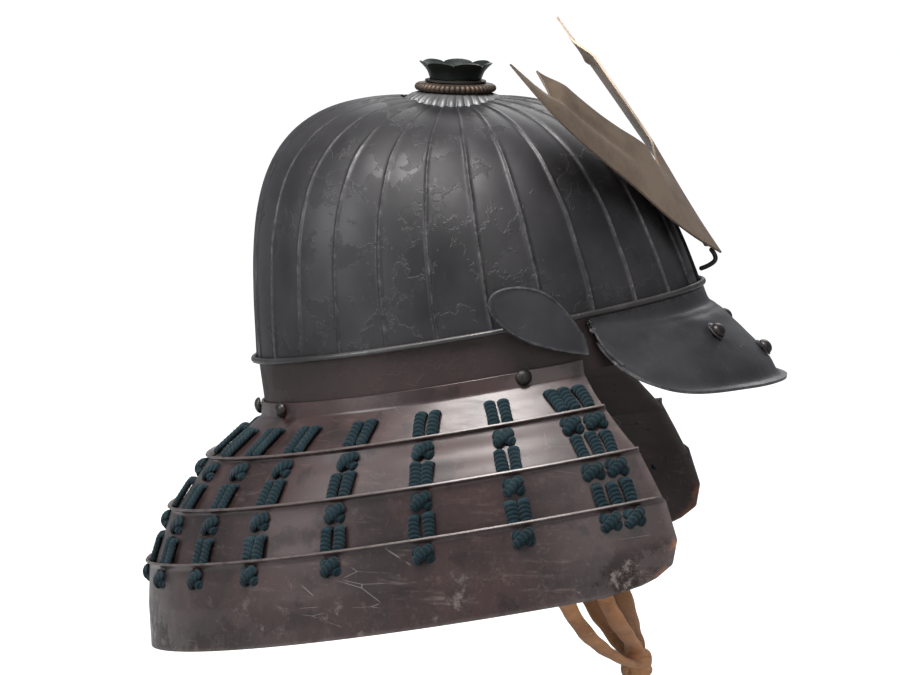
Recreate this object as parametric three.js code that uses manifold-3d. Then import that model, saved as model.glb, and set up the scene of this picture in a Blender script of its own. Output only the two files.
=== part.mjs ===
// Kabuto: a ribbed iron samurai helmet with a laced neck guard, visor, turn-backs,
// crown fittings, two-horned crest and chin cord. Millimetres, +Z up, front towards -Y.
// The origin is the centre of the head opening. The helmet sits raised at the front,
// so its pieces are placed in a tilted group, where `at(x, forward, up)` gives a point.
import * as THREE from 'three';
import { mergeVertices } from 'three/addons/utils/BufferGeometryUtils.js';
import Module from 'manifold-3d';

const wasm = await Module();
wasm.setup();

const TILT = 10;            // degrees that the front of the helmet is raised
const GAP = 0.35;           // clearance between neighbouring pieces
const IRON = 1.6;           // wall of the bowl, band and visor
const PLATES = 26;          // plates of the bowl, each ending in a standing rib
const RIB = { height: 1.7, halfAngle: 1.3 };
const BASE = { a: 122.6, w: 104, h: 24 };       // foot of the bowl: half length, half width, height
const CROWN = { f: 8.2, h: 145.3 };             // where the ribs meet
const CROWN_HOLE = 0.09;                        // open share of a meridian at the crown
const BAND_DEPTH = 6;                           // band below the top edge of the first lame
const LAME_WALL = 1.5;
const LAME_STEPS = 28;
const FOOT_STEPS = 52;        // facets round the foot of the bowl
const VISOR_END = 58;                           // degrees each side of the front
const LACE = { halfWidth: 7.2, halfThick: 0.95, clear: 0.55 };
const LACE_ANGLES = [161, 146.5, 132.5, 116.5, 101, 85.5, 70];
const RIM_RINGS = [                             // upper edge of lames 2, 3 and 4
  { a: 160.7, w: 127, h: -23.6 },
  { a: 186.4, w: 144, h: -48 },
  { a: 203.6, w: 152, h: -75.4 },
];
const HEM = { a: 209.1, w: 157, h: -122.6 };    // lower edge of the last lame
const TUCK = [9, 7.2, 6.4];                   // how far each lame passes inside the next rim

const finish = {
  iron: { color: 0x3b3b40, roughness: 0.48, metalness: 0.75 },
  band: { color: 0x33292b, roughness: 0.6, metalness: 0.3 },
  visor: { color: 0x6a6c74, roughness: 0.45, metalness: 0.7 },
  lacquer: { color: 0x5d4c4c, roughness: 0.35, metalness: 0.1 },
  silver: { color: 0x8e9296, roughness: 0.4, metalness: 0.85 },
  bronze: { color: 0x5c4a3a, roughness: 0.5, metalness: 0.7 },
  patina: { color: 0x1c2624, roughness: 0.45, metalness: 0.5 },
  gold: { color: 0xb59a78, roughness: 0.35, metalness: 0.8 },
  lace: { color: 0x173743, roughness: 0.9, metalness: 0 },
  leather: { color: 0xa97f52, roughness: 0.8, metalness: 0 },
};

const rad = THREE.MathUtils.degToRad;
const at = (x, f, h) => new THREE.Vector3(x, -f, h);
const mix = THREE.MathUtils.lerp;

const helmet = new THREE.Group();
const tilted = new THREE.Group();
tilted.rotation.x = -rad(TILT);
helmet.add(tilted);

// ---------- solids ----------

function toManifold(geometry) {
  const bare = geometry.clone();
  for (const name of Object.keys(bare.attributes)) {
    if (name !== 'position') bare.deleteAttribute(name);
  }
  const merged = mergeVertices(bare, 1e-4);
  return new wasm.Manifold(new wasm.Mesh({
    numProp: 3,
    vertProperties: new Float32Array(merged.attributes.position.array),
    triVerts: new Uint32Array(merged.index.array),
  }));
}

function toGeometry(solid) {
  const mesh = solid.getMesh();
  const geometry = new THREE.BufferGeometry();
  geometry.setAttribute('position', new THREE.BufferAttribute(new Float32Array(mesh.vertProperties), 3));
  geometry.setIndex(new THREE.BufferAttribute(new Uint32Array(mesh.triVerts), 1));
  geometry.computeVertexNormals();
  return geometry;
}

function signedVolume(points, faces) {
  let sum = 0;
  for (const [i, j, k] of faces) {
    sum += points[i].dot(new THREE.Vector3().crossVectors(points[j], points[k]));
  }
  return sum / 6;
}

function closedGeometry(points, faces) {
  const outward = signedVolume(points, faces) > 0;
  const index = faces.flatMap(([i, j, k]) => (outward ? [i, j, k] : [i, k, j]));
  const geometry = new THREE.BufferGeometry().setFromPoints(points);
  geometry.setIndex(index);
  geometry.computeVertexNormals();
  return geometry;
}

// The outward normals of a grid of points, one row for each station.
function gridNormals(grid, outwardFrom) {
  const rows = grid.length;
  const cols = grid[0].length;
  const pick = (i, j) => grid[THREE.MathUtils.clamp(i, 0, rows - 1)][THREE.MathUtils.clamp(j, 0, cols - 1)];
  return grid.map((row, i) => row.map((point, j) => {
    const along = pick(i + 1, j).clone().sub(pick(i - 1, j));
    const down = pick(i, j + 1).clone().sub(pick(i, j - 1));
    const normal = along.cross(down).normalize();
    const away = point.clone().sub(outwardFrom);
    return normal.dot(away) < 0 ? normal.negate() : normal;
  }));
}

// A wall of the given thickness behind a grid of outer points, closed into one loop or not.
function wallFromGrid(grid, thickness, { loop = false, centre = at(0, 0, 0) } = {}) {
  const wrapped = loop ? [grid[grid.length - 1], ...grid, grid[0]] : grid;
  const normals = gridNormals(wrapped, centre);
  const inner = grid.map((row, i) => row.map((point, j) => (
    point.clone().addScaledVector(normals[loop ? i + 1 : i][j], -thickness)
  )));
  const rows = grid.length;
  const cols = grid[0].length;
  const points = [...grid.flat(), ...inner.flat()];
  const id = (side, i, j) => side * rows * cols + (i % rows) * cols + j;
  const faces = [];
  const quad = (p, q, r, s) => faces.push([p, q, r], [p, r, s]);
  const spans = loop ? rows : rows - 1;
  for (let i = 0; i < spans; i += 1) {
    for (let j = 0; j < cols - 1; j += 1) {
      quad(id(0, i, j), id(0, i, j + 1), id(0, i + 1, j + 1), id(0, i + 1, j));
      quad(id(1, i, j), id(1, i + 1, j), id(1, i + 1, j + 1), id(1, i, j + 1));
    }
    quad(id(0, i, 0), id(0, i + 1, 0), id(1, i + 1, 0), id(1, i, 0));
    quad(id(0, i, cols - 1), id(1, i, cols - 1), id(1, i + 1, cols - 1), id(0, i + 1, cols - 1));
  }
  if (!loop) {
    for (let j = 0; j < cols - 1; j += 1) {
      quad(id(0, 0, j), id(1, 0, j), id(1, 0, j + 1), id(0, 0, j + 1));
      const end = rows - 1;
      quad(id(0, end, j), id(0, end, j + 1), id(1, end, j + 1), id(1, end, j));
    }
  }
  return closedGeometry(points, faces);
}

function lathe(profile, segments) {
  const geometry = new THREE.LatheGeometry(profile.map(([r, z]) => new THREE.Vector2(r, z)), segments);
  geometry.rotateX(Math.PI / 2);
  return geometry;
}

function addMesh(parent, name, geometry, material) {
  const mesh = new THREE.Mesh(geometry, new THREE.MeshStandardMaterial(finish[material]));
  mesh.name = name;
  parent.add(mesh);
  return mesh;
}

function aim(object, position, normal) {
  object.position.copy(position);
  object.quaternion.setFromUnitVectors(new THREE.Vector3(0, 0, 1), normal.clone().normalize());
}

const range = (count) => Array.from({ length: count }, (unused, i) => i);

// ---------- bowl ----------

// A point of the bowl: each meridian is a cubic curve from the foot to the crown.
// It leaves the foot upright and reaches the crown level, higher behind than in front.
function bowlPoint(degrees, t, raise = 0) {
  const angle = rad(degrees);
  const front = Math.cos(angle);
  const side = Math.sin(angle);
  const foot = at(BASE.w * side, BASE.a * front, BASE.h);
  const lean = 5 + 0.9 * front + 5.1 * front * front;
  const rise = 72 - 4.2 * front - 2 * front * front;
  const reach = 84 - 17.5 * front + 16.5 * front * front;
  const slope = 0.13 * front * front - 0.174 * front;
  const crown = at(0, CROWN.f, CROWN.h);
  const lower = foot.clone().add(at(-lean * side, -lean * front, rise));
  const upper = crown.clone().add(at(reach * side, reach * front, reach * slope));
  const point = new THREE.CubicBezierCurve3(foot, lower, upper, crown).getPoint(t);
  const outward = at(side * Math.cos(t * 1.4), front * Math.cos(t * 1.4), Math.sin(t * 1.4)).normalize();
  return point.addScaledVector(outward, raise);
}

const ribAngle = (k) => (360 * k) / PLATES;

function bowlGrid(raise, ribHeight) {
  const stations = [0, 0.17, 0.34, 0.5, 0.66, 0.8, 1 - CROWN_HOLE];
  const meridians = range(PLATES).flatMap((k) => {
    const here = ribAngle(k);
    const next = ribAngle(k + 1);
    return [
      { angle: here, lift: ribHeight },
      { angle: here + RIB.halfAngle, lift: 0 },
      { angle: next - RIB.halfAngle, lift: 0 },
    ];
  });
  return meridians.map(({ angle, lift }) => stations.map((t) => (
    bowlPoint(angle, t, raise + lift * (1 - 0.45 * t))
  )));
}

const bowlCentre = at(0, 0, 60);
addMesh(tilted, 'bowl', wallFromGrid(bowlGrid(0, RIB.height), IRON, { loop: true, centre: bowlCentre }), 'iron');

// The bowl's outer form with a clearance, to seat the crown fittings on it.
function bowlForm(clearance) {
  const grid = bowlGrid(clearance + RIB.height * 0.6, 0);
  const cols = grid[0].length;
  const points = [...grid.flat(), at(0, 0, BASE.h), at(0, CROWN.f, CROWN.h + 1)];
  const foot = points.length - 2;
  const top = points.length - 1;
  const faces = [];
  grid.forEach((row, i) => {
    const next = (i + 1) % grid.length;
    for (let j = 0; j < cols - 1; j += 1) {
      faces.push([i * cols + j, next * cols + j, next * cols + j + 1]);
      faces.push([i * cols + j, next * cols + j + 1, i * cols + j + 1]);
    }
    faces.push([foot, next * cols, i * cols]);
    faces.push([top, i * cols + cols - 1, next * cols + cols - 1]);
  });
  return toManifold(closedGeometry(points, faces));
}

// ---------- rings round the foot ----------

// A closed band whose section is a list of { out, h } corners beyond the ellipse of the foot.
function footRing(section, segments) {
  const points = [];
  const faces = [];
  for (const i of range(segments)) {
    const angle = rad((360 * i) / segments);
    for (const { out, h } of section) {
      points.push(at((BASE.w + out) * Math.sin(angle), (BASE.a + out) * Math.cos(angle), h));
    }
  }
  const n = section.length;
  for (const i of range(segments)) {
    const next = (i + 1) % segments;
    for (const j of range(n)) {
      const k = (j + 1) % n;
      faces.push([i * n + j, next * n + j, next * n + k]);
      faces.push([i * n + j, next * n + k, i * n + k]);
    }
  }
  return closedGeometry(points, faces);
}

const bandSection = [
  { out: 0.2, h: BASE.h - GAP },
  { out: 1.2, h: -BAND_DEPTH },
  { out: 1.2 - IRON, h: -BAND_DEPTH },
  { out: 0.2 - IRON, h: BASE.h - GAP },
];
const rimSection = [
  { out: 2.2, h: BASE.h + 1.6 },
  { out: 4.2, h: BASE.h + 0.4 },
  { out: 4.2, h: BASE.h - 1 },
  { out: 2.2, h: BASE.h - 1.8 },
];
addMesh(tilted, 'bowl_rim', footRing(rimSection, FOOT_STEPS), 'silver');

// ---------- neck guard ----------

const ringPoint = (ring, degrees) => at(ring.w * Math.sin(rad(degrees)), ring.a * Math.cos(rad(degrees)), ring.h);
const mixRing = (p, q, t) => ({ a: mix(p.a, q.a, t), w: mix(p.w, q.w, t), h: mix(p.h, q.h, t) });
const insetRing = (ring, inset, drop) => ({ a: ring.a - inset, w: ring.w - inset, h: ring.h - drop });

// Each lame is a list of rings from its top edge to its lower edge, with the angle where each ends.
const neckTop = { a: 125.4, w: 106.8, h: 0.6 };
const neckBend = { a: 126.8, w: 108.2, h: -7.6 };
const pastRim = 1.22;
const lames = [
  [
    { ring: neckTop, end: 61.5 },
    { ring: neckBend, end: 62 },
    { ring: mixRing(neckBend, insetRing(RIM_RINGS[0], TUCK[0], 0), 0.6), end: 63.4 },
    { ring: mixRing(neckBend, insetRing(RIM_RINGS[0], TUCK[0], 0), pastRim), end: 64.2 },
  ],
  ...[0, 1].map((n) => {
    const top = insetRing(RIM_RINGS[n], 1.6, 2.4);
    const goal = insetRing(RIM_RINGS[n + 1], TUCK[n + 1], 0);
    const ends = [[64.7, 64.4, 63.6, 62.6], [63.3, 63.1, 62.6, 62.2]][n];
    return [
      { ring: RIM_RINGS[n], end: ends[0] },
      { ring: top, end: ends[1] },
      { ring: mixRing(top, goal, 0.6), end: ends[2] },
      { ring: mixRing(top, goal, pastRim), end: ends[3] },
    ];
  }),
  [
    { ring: RIM_RINGS[2], end: 63.9 },
    { ring: insetRing(RIM_RINGS[2], 1.5, 2.6), end: 62.4 },
    { ring: mixRing(RIM_RINGS[2], HEM, 0.52), end: 62.2 },
    { ring: mixRing(RIM_RINGS[2], HEM, 0.78), end: 63.8 },
    { ring: mixRing(RIM_RINGS[2], HEM, 0.94), end: 68.7 },
    { ring: HEM, end: 75.4 },
  ],
];

const lameGrid = (rows) => range(LAME_STEPS + 1).map((i) => rows.map(({ ring, end }) => (
  ringPoint(ring, mix(end, 360 - end, i / LAME_STEPS))
)));

// The place on a lame's outer face at an angle and a share of the way from its bend to its hem.
function lamePlace(rows, degrees, share) {
  const from = rows[1].ring;
  const to = rows[rows.length - 1].ring;
  const point = (angle, s) => ringPoint(mixRing(from, to, s), angle);
  const here = point(degrees, share);
  const across = point(degrees + 0.5, share).sub(point(degrees - 0.5, share)).normalize();
  const down = point(degrees, share + 0.01).sub(point(degrees, share - 0.01)).normalize();
  const out = new THREE.Vector3().crossVectors(across, down).normalize();
  if (out.dot(here.clone().setZ(0)) < 0) out.negate();
  return { here, across, down, out };
}

// A straight flat piece of lace between two points.
function slab(start, end, across, halfWidth, halfThick, extra) {
  const along = end.clone().sub(start).normalize();
  const thick = new THREE.Vector3().crossVectors(along, across).normalize();
  const side = new THREE.Vector3().crossVectors(thick, along).normalize();
  const corner = (base, shift, s, t) => base.clone().addScaledVector(along, shift)
    .addScaledVector(side, s * halfWidth).addScaledVector(thick, t * halfThick);
  const points = [[start, -extra], [end, extra]].flatMap(([base, shift]) => (
    [[-1, -1], [1, -1], [1, 1], [-1, 1]].map(([s, t]) => corner(base, shift, s, t))
  ));
  const faces = [[0, 2, 1], [0, 3, 2], [4, 5, 6], [4, 6, 7]];
  for (const i of range(4)) {
    const j = (i + 1) % 4;
    faces.push([i, j, j + 4], [i, j + 4, i + 4]);
  }
  return toManifold(closedGeometry(points, faces));
}

// Shares of each lame where its lace dips behind the next rim, comes out through it and is knotted.
const run = { start: 0.36, dip: 0.78, exit: [0.36, 0.16, 0.16, 0.1], knotEnd: [0, 0.36, 0.34, 0.22] };
const KNOT_THICK = 1.8;

// A flat lace swept along points that each carry their own half thickness, mitred at its bends.
function sweepLace(stops, across, halfWidth) {
  const direction = (i) => stops[i + 1].point.clone().sub(stops[i].point).normalize();
  const points = [];
  const faces = [];
  stops.forEach((stop, i) => {
    const before = direction(Math.max(i - 1, 0));
    const after = direction(Math.min(i, stops.length - 2));
    const along = before.clone().add(after).normalize();
    const thick = new THREE.Vector3().crossVectors(along, across).normalize();
    const mitre = 1 / Math.max(0.6, along.dot(after));
    for (const [s, t] of [[-1, -1], [1, -1], [1, 1], [-1, 1]]) {
      points.push(stop.point.clone().addScaledVector(across, s * halfWidth)
        .addScaledVector(thick, t * stop.half * mitre));
    }
  });
  const last = 4 * (stops.length - 1);
  faces.push([0, 2, 1], [0, 3, 2], [last, last + 1, last + 2], [last, last + 2, last + 3]);
  for (const i of range(stops.length - 1)) {
    for (const j of range(4)) {
      const k = (j + 1) % 4;
      faces.push([4 * i + j, 4 * i + k, 4 * i + 4 + k], [4 * i + j, 4 * i + 4 + k, 4 * i + 4 + j]);
    }
  }
  return closedGeometry(points, faces);
}

// One column of lacing: down the face of a lame, behind the next rim, out through it and knotted.
function laceColumn(degrees, halfWidth) {
  const { halfThick, clear } = LACE;
  const { across } = lamePlace(lames[0], degrees, 0.5);
  const stop = (n, share, half, offset = half + clear) => {
    const spot = lamePlace(lames[n], degrees, share);
    return { point: spot.here.addScaledVector(spot.out, offset), half };
  };
  const slots = [];
  const pierce = (n, p, q) => {
    const solid = slab(p.point, q.point, across, halfWidth + GAP, halfThick + GAP, 2.5);
    slots.push({ lame: n, solid });
  };
  const stops = [stop(0, run.start - 0.03, halfThick, -4), stop(0, run.start, halfThick)];
  pierce(0, stops[0], stops[1]);
  for (const n of [0, 1, 2]) {
    const low = stop(n, run.dip, halfThick);
    const out = stop(n + 1, run.exit[n + 1], halfThick);
    stops.push(low, out);
    pierce(n + 1, low, out);
    stops.push(stop(n + 1, run.exit[n + 1] + 0.05, KNOT_THICK));
    stops.push(stop(n + 1, run.knotEnd[n + 1] - 0.03, KNOT_THICK));
    if (n < 2) stops.push(stop(n + 1, run.knotEnd[n + 1], halfThick));
  }
  return { solid: toManifold(sweepLace(stops, across, halfWidth)), slots };
}

const columns = [{ name: 'lace_back', angle: 180, halfWidth: LACE.halfWidth }];
LACE_ANGLES.forEach((angle, k) => {
  const halfWidth = k === LACE_ANGLES.length - 1 ? 11.5 : LACE.halfWidth;
  columns.push({ name: `lace_left_${k + 1}`, angle, halfWidth });
  columns.push({ name: `lace_right_${k + 1}`, angle: 360 - angle, halfWidth });
});
const lacing = columns.map((column) => ({ ...column, ...laceColumn(column.angle, column.halfWidth) }));

// ---------- rivets between band and neck guard ----------

const RIVET = { head: 4.5, dome: 3.1, shank: 1.5, length: 7, seat: 1.1 };
const rivetAngles = { back: 180, left_back: 150.5, left_front: 77.5, right_back: 209.5, right_front: 282.5 };
const domeProfile = ({ head, dome, shank, length }) => [
  [0, -length], [shank, -length], [shank, 0], [head, 0], [head * 0.8, dome * 0.68], [0, dome],
];

const rivets = Object.entries(rivetAngles).map(([name, degrees]) => {
  const neck = mixRing(neckTop, neckBend, 0.4);
  const here = ringPoint(neck, degrees);
  const normal = at(Math.sin(rad(degrees)) / neck.w, Math.cos(rad(degrees)) / neck.a, 0).normalize();
  return { name: `rivet_${name}`, here, normal };
});

function drillAt(here, normal, radius, length) {
  const drill = new THREE.CylinderGeometry(radius, radius, length, 8);
  drill.rotateX(Math.PI / 2);
  const holder = new THREE.Object3D();
  aim(holder, here, normal);
  holder.updateMatrix();
  return toManifold(drill.applyMatrix4(holder.matrix));
}

const drills = rivets.map(({ here, normal }) => drillAt(here, normal, RIVET.shank + GAP, 16));
let band = toManifold(footRing(bandSection, FOOT_STEPS));
for (const drill of drills) band = band.subtract(drill);
addMesh(tilted, 'band', toGeometry(band), 'band');

for (const { name, here, normal } of rivets) {
  const rivet = addMesh(tilted, name, lathe(domeProfile(RIVET), 10), 'iron');
  aim(rivet, here.clone().addScaledVector(normal, RIVET.seat), normal);
}

lames.forEach((rows, n) => {
  let lame = toManifold(wallFromGrid(lameGrid(rows), LAME_WALL, { centre: at(0, 0, 40) }));
  for (const { slots } of lacing) {
    for (const slot of slots) {
      if (slot.lame === n) lame = lame.subtract(slot.solid);
    }
  }
  if (n === 0) {
    for (const drill of drills) lame = lame.subtract(drill);
  }
  addMesh(tilted, `lame_${n + 1}`, toGeometry(lame), 'lacquer');
});
for (const { name, solid } of lacing) addMesh(tilted, name, toGeometry(solid), 'lace');

// ---------- visor ----------

// Out and down from the foot of the bowl: a short upright flange, a sloping brim, a turned edge.
const brim = [[0, 0], [0.06, 0.15], [0.23, 0.26], [0.39, 0.4], [0.63, 0.61], [0.8, 0.79], [0.88, 0.93], [1, 1]];
const VISOR = { out: 36.5, drop: 57, sideOut: 24, sideDrop: 45, roundFrom: 35 };

function visorPoint(degrees, [outShare, dropShare]) {
  const angle = rad(degrees);
  const base = { a: BASE.a + 2.5, w: BASE.w + 2.5 };
  const foot = at(base.w * Math.sin(angle), base.a * Math.cos(angle), BASE.h - 2.4);
  const outward = at(Math.sin(angle) / base.w, Math.cos(angle) / base.a, 0).normalize();
  const turn = Math.sin(angle) ** 2 / Math.sin(rad(VISOR_END)) ** 2;
  const past = Math.max(0, (Math.abs(degrees) - VISOR.roundFrom) / (VISOR_END - VISOR.roundFrom));
  const width = Math.sqrt(Math.max(0, 1 - past ** 2.4)) * 0.86 + 0.14;
  const out = mix(VISOR.out, VISOR.sideOut, turn) * outShare * width;
  const drop = mix(VISOR.drop, VISOR.sideDrop, turn) * dropShare * width;
  return foot.addScaledVector(outward, out).add(at(0, 0, -drop));
}

const VISOR_STEPS = 24;
const visorAngles = range(VISOR_STEPS + 1).map((i) => {
  const share = (2 * i) / VISOR_STEPS - 1;
  return VISOR_END * Math.sin((share * Math.PI) / 2);
});
const visorGrid = visorAngles.map((degrees) => brim.map((step) => visorPoint(degrees, step)));
let visor = toManifold(wallFromGrid(visorGrid, IRON, { centre: at(0, 40, -60) }));

const STUD = { head: 4.4, dome: 3.4, shank: 1.4, length: 5 };
const studs = { centre: [0, 0.7], left: [21, 0.42], right: [-21, 0.42] };
for (const [name, [degrees, share]] of Object.entries(studs)) {
  const step = [share * 1.02, share];
  const here = visorPoint(degrees, step);
  const across = visorPoint(degrees + 1, step).sub(visorPoint(degrees - 1, step));
  const down = visorPoint(degrees, [step[0] + 0.03, step[1] + 0.03]).sub(here);
  const normal = across.cross(down).normalize();
  if (normal.dot(at(0, 1, 0.6)) < 0) normal.negate();
  visor = visor.subtract(drillAt(here, normal, STUD.shank + GAP, 12));
  const washer = lathe([[2, 0], [5.2, 0], [4.9, 0.8], [2, 0.8], [2, 0]], 10);
  aim(addMesh(tilted, `visor_washer_${name}`, washer, 'visor'), here.clone().addScaledVector(normal, 0.9), normal);
  const stud = lathe(domeProfile(STUD), 10);
  aim(addMesh(tilted, `visor_stud_${name}`, stud, 'iron'), here.clone().addScaledVector(normal, 2.1), normal);
}
addMesh(tilted, 'visor', toGeometry(visor), 'visor');

// ---------- turn-backs ----------

// A small leaf on each side that grows from the front of the first lame and turns back.
const leaf = new THREE.Shape();
leaf.moveTo(64, 3);
leaf.bezierCurveTo(54, 6, 38, 12, 28, 21);
leaf.bezierCurveTo(19, 29, 15, 38, 18, 43);
leaf.bezierCurveTo(22, 49, 36, 47, 44, 42);
leaf.bezierCurveTo(52, 37, 58, 26, 64, 11);
leaf.lineTo(64, 3);

function leafGeometry(side) {
  const geometry = new THREE.ExtrudeGeometry(leaf, { depth: 1.5, bevelEnabled: false, curveSegments: 7 });
  const position = geometry.attributes.position;
  for (let i = 0; i < position.count; i += 1) {
    const f = position.getX(i);
    const h = position.getY(i);
    const back = (64 - f) / 46;
    const x = 97 + 22 * back - 5 * back * back + position.getZ(i) + 0.06 * h;
    position.setXYZ(i, side * x, -f, h);
  }
  const merged = mergeVertices(new THREE.BufferGeometry().setAttribute('position', position), 1e-4);
  const points = range(merged.attributes.position.count).map((i) => (
    new THREE.Vector3().fromBufferAttribute(merged.attributes.position, i)
  ));
  const index = merged.index.array;
  return closedGeometry(points, range(index.length / 3).map((t) => [0, 1, 2].map((k) => index[3 * t + k])));
}
addMesh(tilted, 'turn_back_left', leafGeometry(1), 'visor');
addMesh(tilted, 'turn_back_right', leafGeometry(-1), 'visor');

// ---------- crown fittings ----------

const crown = new THREE.Group();
crown.position.copy(at(0, CROWN.f - 0.3, CROWN.h - 2.6));
crown.rotation.x = rad(TILT + 1.5);
tilted.add(crown);
crown.updateMatrix();

// A ring with flutes: its outer radii swell between the valleys of the petals.
function flutedRing(profile, petals, depth) {
  const around = petals * 2;
  const points = [];
  for (const i of range(around)) {
    const angle = (2 * Math.PI * i) / around;
    for (const [r, z, flute] of profile) {
      const radius = r - (i % 2) * depth * flute;
      points.push(new THREE.Vector3(radius * Math.cos(angle), radius * Math.sin(angle), z));
    }
  }
  const n = profile.length;
  const faces = [];
  for (const i of range(around)) {
    const next = (i + 1) % around;
    for (const j of range(n)) {
      const k = (j + 1) % n;
      faces.push([i * n + j, next * n + j, next * n + k]);
      faces.push([i * n + j, next * n + k, i * n + k]);
    }
  }
  return closedGeometry(points, faces);
}

const seat = bowlForm(GAP + 0.1);
const baseRing = flutedRing([[11, -3, 0], [29, -3, 1], [28, 4.6, 1], [22, 6.6, 0.4], [11, 6.9, 0]], 24, 1.3);
const seated = toManifold(baseRing.applyMatrix4(crown.matrix)).subtract(seat);
const largest = seated.decompose().sort((p, q) => q.volume() - p.volume())[0];
addMesh(tilted, 'crown_base', toGeometry(largest), 'silver');
const ringGeometry = flutedRing([[11, 7.3, 0], [20.5, 7.3, 0], [22.4, 9.4, 1], [20.5, 12, 0.5], [11, 12, 0]], 24, 0.9);
addMesh(crown, 'crown_ring', ringGeometry, 'bronze');
const plateProfile = [[10, 12.4], [16.6, 12.4], [16.6, 13.8], [10, 13.8], [10, 12.4]];
addMesh(crown, 'crown_plate', lathe(plateProfile, 24), 'patina');
const cupProfile = [
  [9, 14.2], [14.4, 14.2], [15.2, 16.4], [17, 19.6], [19.6, 23], [18.6, 23.8],
  [15.6, 20.6], [13.8, 17.4], [13, 15.8], [9, 15.8], [9, 14.2],
];
addMesh(crown, 'crown_cup', lathe(cupProfile, 24), 'patina');

// ---------- crest ----------

// Two horns with forked ends, in one thin plate that leans back and is swept back from its middle.
const CREST = { foot: { f: 138.5, h: 38 }, lean: 25.5, sweep: 0.17, wall: 1.2, turn: 4.5, roll: 3, fold: 5 };
const hornOutline = [
  [0, 0], [20, 15], [36, 32], [50, 53], [63, 70], [76, 86], [88, 106], [94, 124], [99, 147],
  [88, 131], [76, 119], [74, 128], [71, 137], [63, 122], [56, 112], [45, 99], [32, 87], [18, 76], [0, 58],
];

// The crest hangs on its hook a little askew: turned and rolled about its foot.
function crestPoint(x, s, t) {
  const lean = rad(CREST.lean);
  const f = -s * Math.sin(lean) - CREST.sweep * Math.abs(x) + t * Math.cos(lean);
  const h = s * Math.cos(lean) + t * Math.sin(lean);
  const rolled = { x: x - h * Math.tan(rad(CREST.roll)), h: h + x * Math.tan(rad(CREST.roll)) };
  return at(rolled.x, CREST.foot.f + f + rolled.x * Math.tan(rad(CREST.turn)), CREST.foot.h + rolled.h);
}

function hornSolid(side) {
  const outline = hornOutline.map(([x, s]) => new THREE.Vector2(x, s));
  const triangles = THREE.ShapeUtils.triangulateShape(outline, []);
  const n = outline.length;
  const onInnerEdge = (i) => i > 12 && i < n - 1;
  const points = [0, -CREST.wall].flatMap((t) => outline.map(({ x, y }, i) => (
    crestPoint(side * x, y, t + (onInnerEdge(i) ? CREST.fold : 0))
  )));
  const faces = triangles.flatMap(([i, j, k]) => [[i, j, k], [i + n, k + n, j + n]]);
  const windsLeft = THREE.ShapeUtils.area(outline) > 0;
  for (const i of range(n)) {
    const j = (i + 1) % n;
    if (windsLeft) faces.push([i, i + n, j + n], [i, j + n, j]);
    else faces.push([i, j, j + n], [i, j + n, i + n]);
  }
  return toManifold(closedGeometry(points, faces));
}
addMesh(tilted, 'crest', toGeometry(hornSolid(1).add(hornSolid(-1))), 'gold');

const tongue = slab(crestPoint(0, 7, -4.6), crestPoint(0, 34, -3.6), at(1, 0, 0), 4.2, 1.3, 0);
addMesh(tilted, 'crest_socket', toGeometry(tongue), 'patina');

function tube(points, halfWidth, halfThick, sides, steps) {
  const path = new THREE.CatmullRomCurve3(points);
  const section = new THREE.Shape();
  for (const i of range(sides)) {
    const angle = (2 * Math.PI * i) / sides;
    const corner = [halfThick * Math.cos(angle), halfWidth * Math.sin(angle)];
    if (i === 0) section.moveTo(...corner);
    else section.lineTo(...corner);
  }
  section.closePath();
  return new THREE.ExtrudeGeometry(section, { steps, extrudePath: path, bevelEnabled: false });
}
const rodRoute = [
  at(0, 124.5, 30.8), at(0, 130, 32), at(0, 134, 34.2), at(0, 134.2, 37.5), at(0, 132.4, 41.4),
];
addMesh(tilted, 'crest_rod', tube(rodRoute, 1.3, 1.3, 8, 7), 'iron');

// ---------- chin cord ----------

// Two strands leave rings inside the band on each side and meet in a knot under the chin.
const KNOT = at(0, 53, -179);
const strands = {
  back: [
    [96, 10, -12], [95, 12, -30], [90, 15, -62], [82, 19, -96], [70, 25, -128], [52, 33, -152], [30, 43, -168],
    [13.4, 50.6, -176],
  ],
  front: [
    [90, 38, -12], [89, 39, -30], [84, 40, -62], [74, 42, -96], [60, 45, -126], [42, 49, -147], [24, 52, -159],
    [10, 53.5, -164.5],
  ],
};
for (const [sideName, side] of [['left', 1], ['right', -1]]) {
  for (const [name, route] of Object.entries(strands)) {
    const points = route.map(([x, f, h]) => at(side * x, f, h));
    addMesh(tilted, `chin_cord_${sideName}_${name}`, tube(points, 5.5, 2.6, 8, 14), 'leather');
    const ring = new THREE.TorusGeometry(4.6, 1.1, 5, 12);
    const holder = addMesh(tilted, `cord_ring_${sideName}_${name}`, ring, 'iron');
    holder.position.copy(points[0]).add(at(0, 0, 6.2));
    holder.rotation.y = Math.PI / 2;
  }
}
const knotProfile = [[0, -10], [7, -8.6], [10.4, -3], [10.4, 3], [7, 8.6], [0, 10]];
const knot = addMesh(tilted, 'chin_knot', lathe(knotProfile, 14), 'leather');
knot.position.copy(KNOT);
knot.scale.set(1, 0.75, 1);

export default helmet;
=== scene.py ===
"""Kabuto: a ribbed iron samurai helmet with a laced neck guard, dressed for a still render."""

import logging
import math
from dataclasses import dataclass, field
from enum import Enum
from typing import Callable, Sequence

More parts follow.
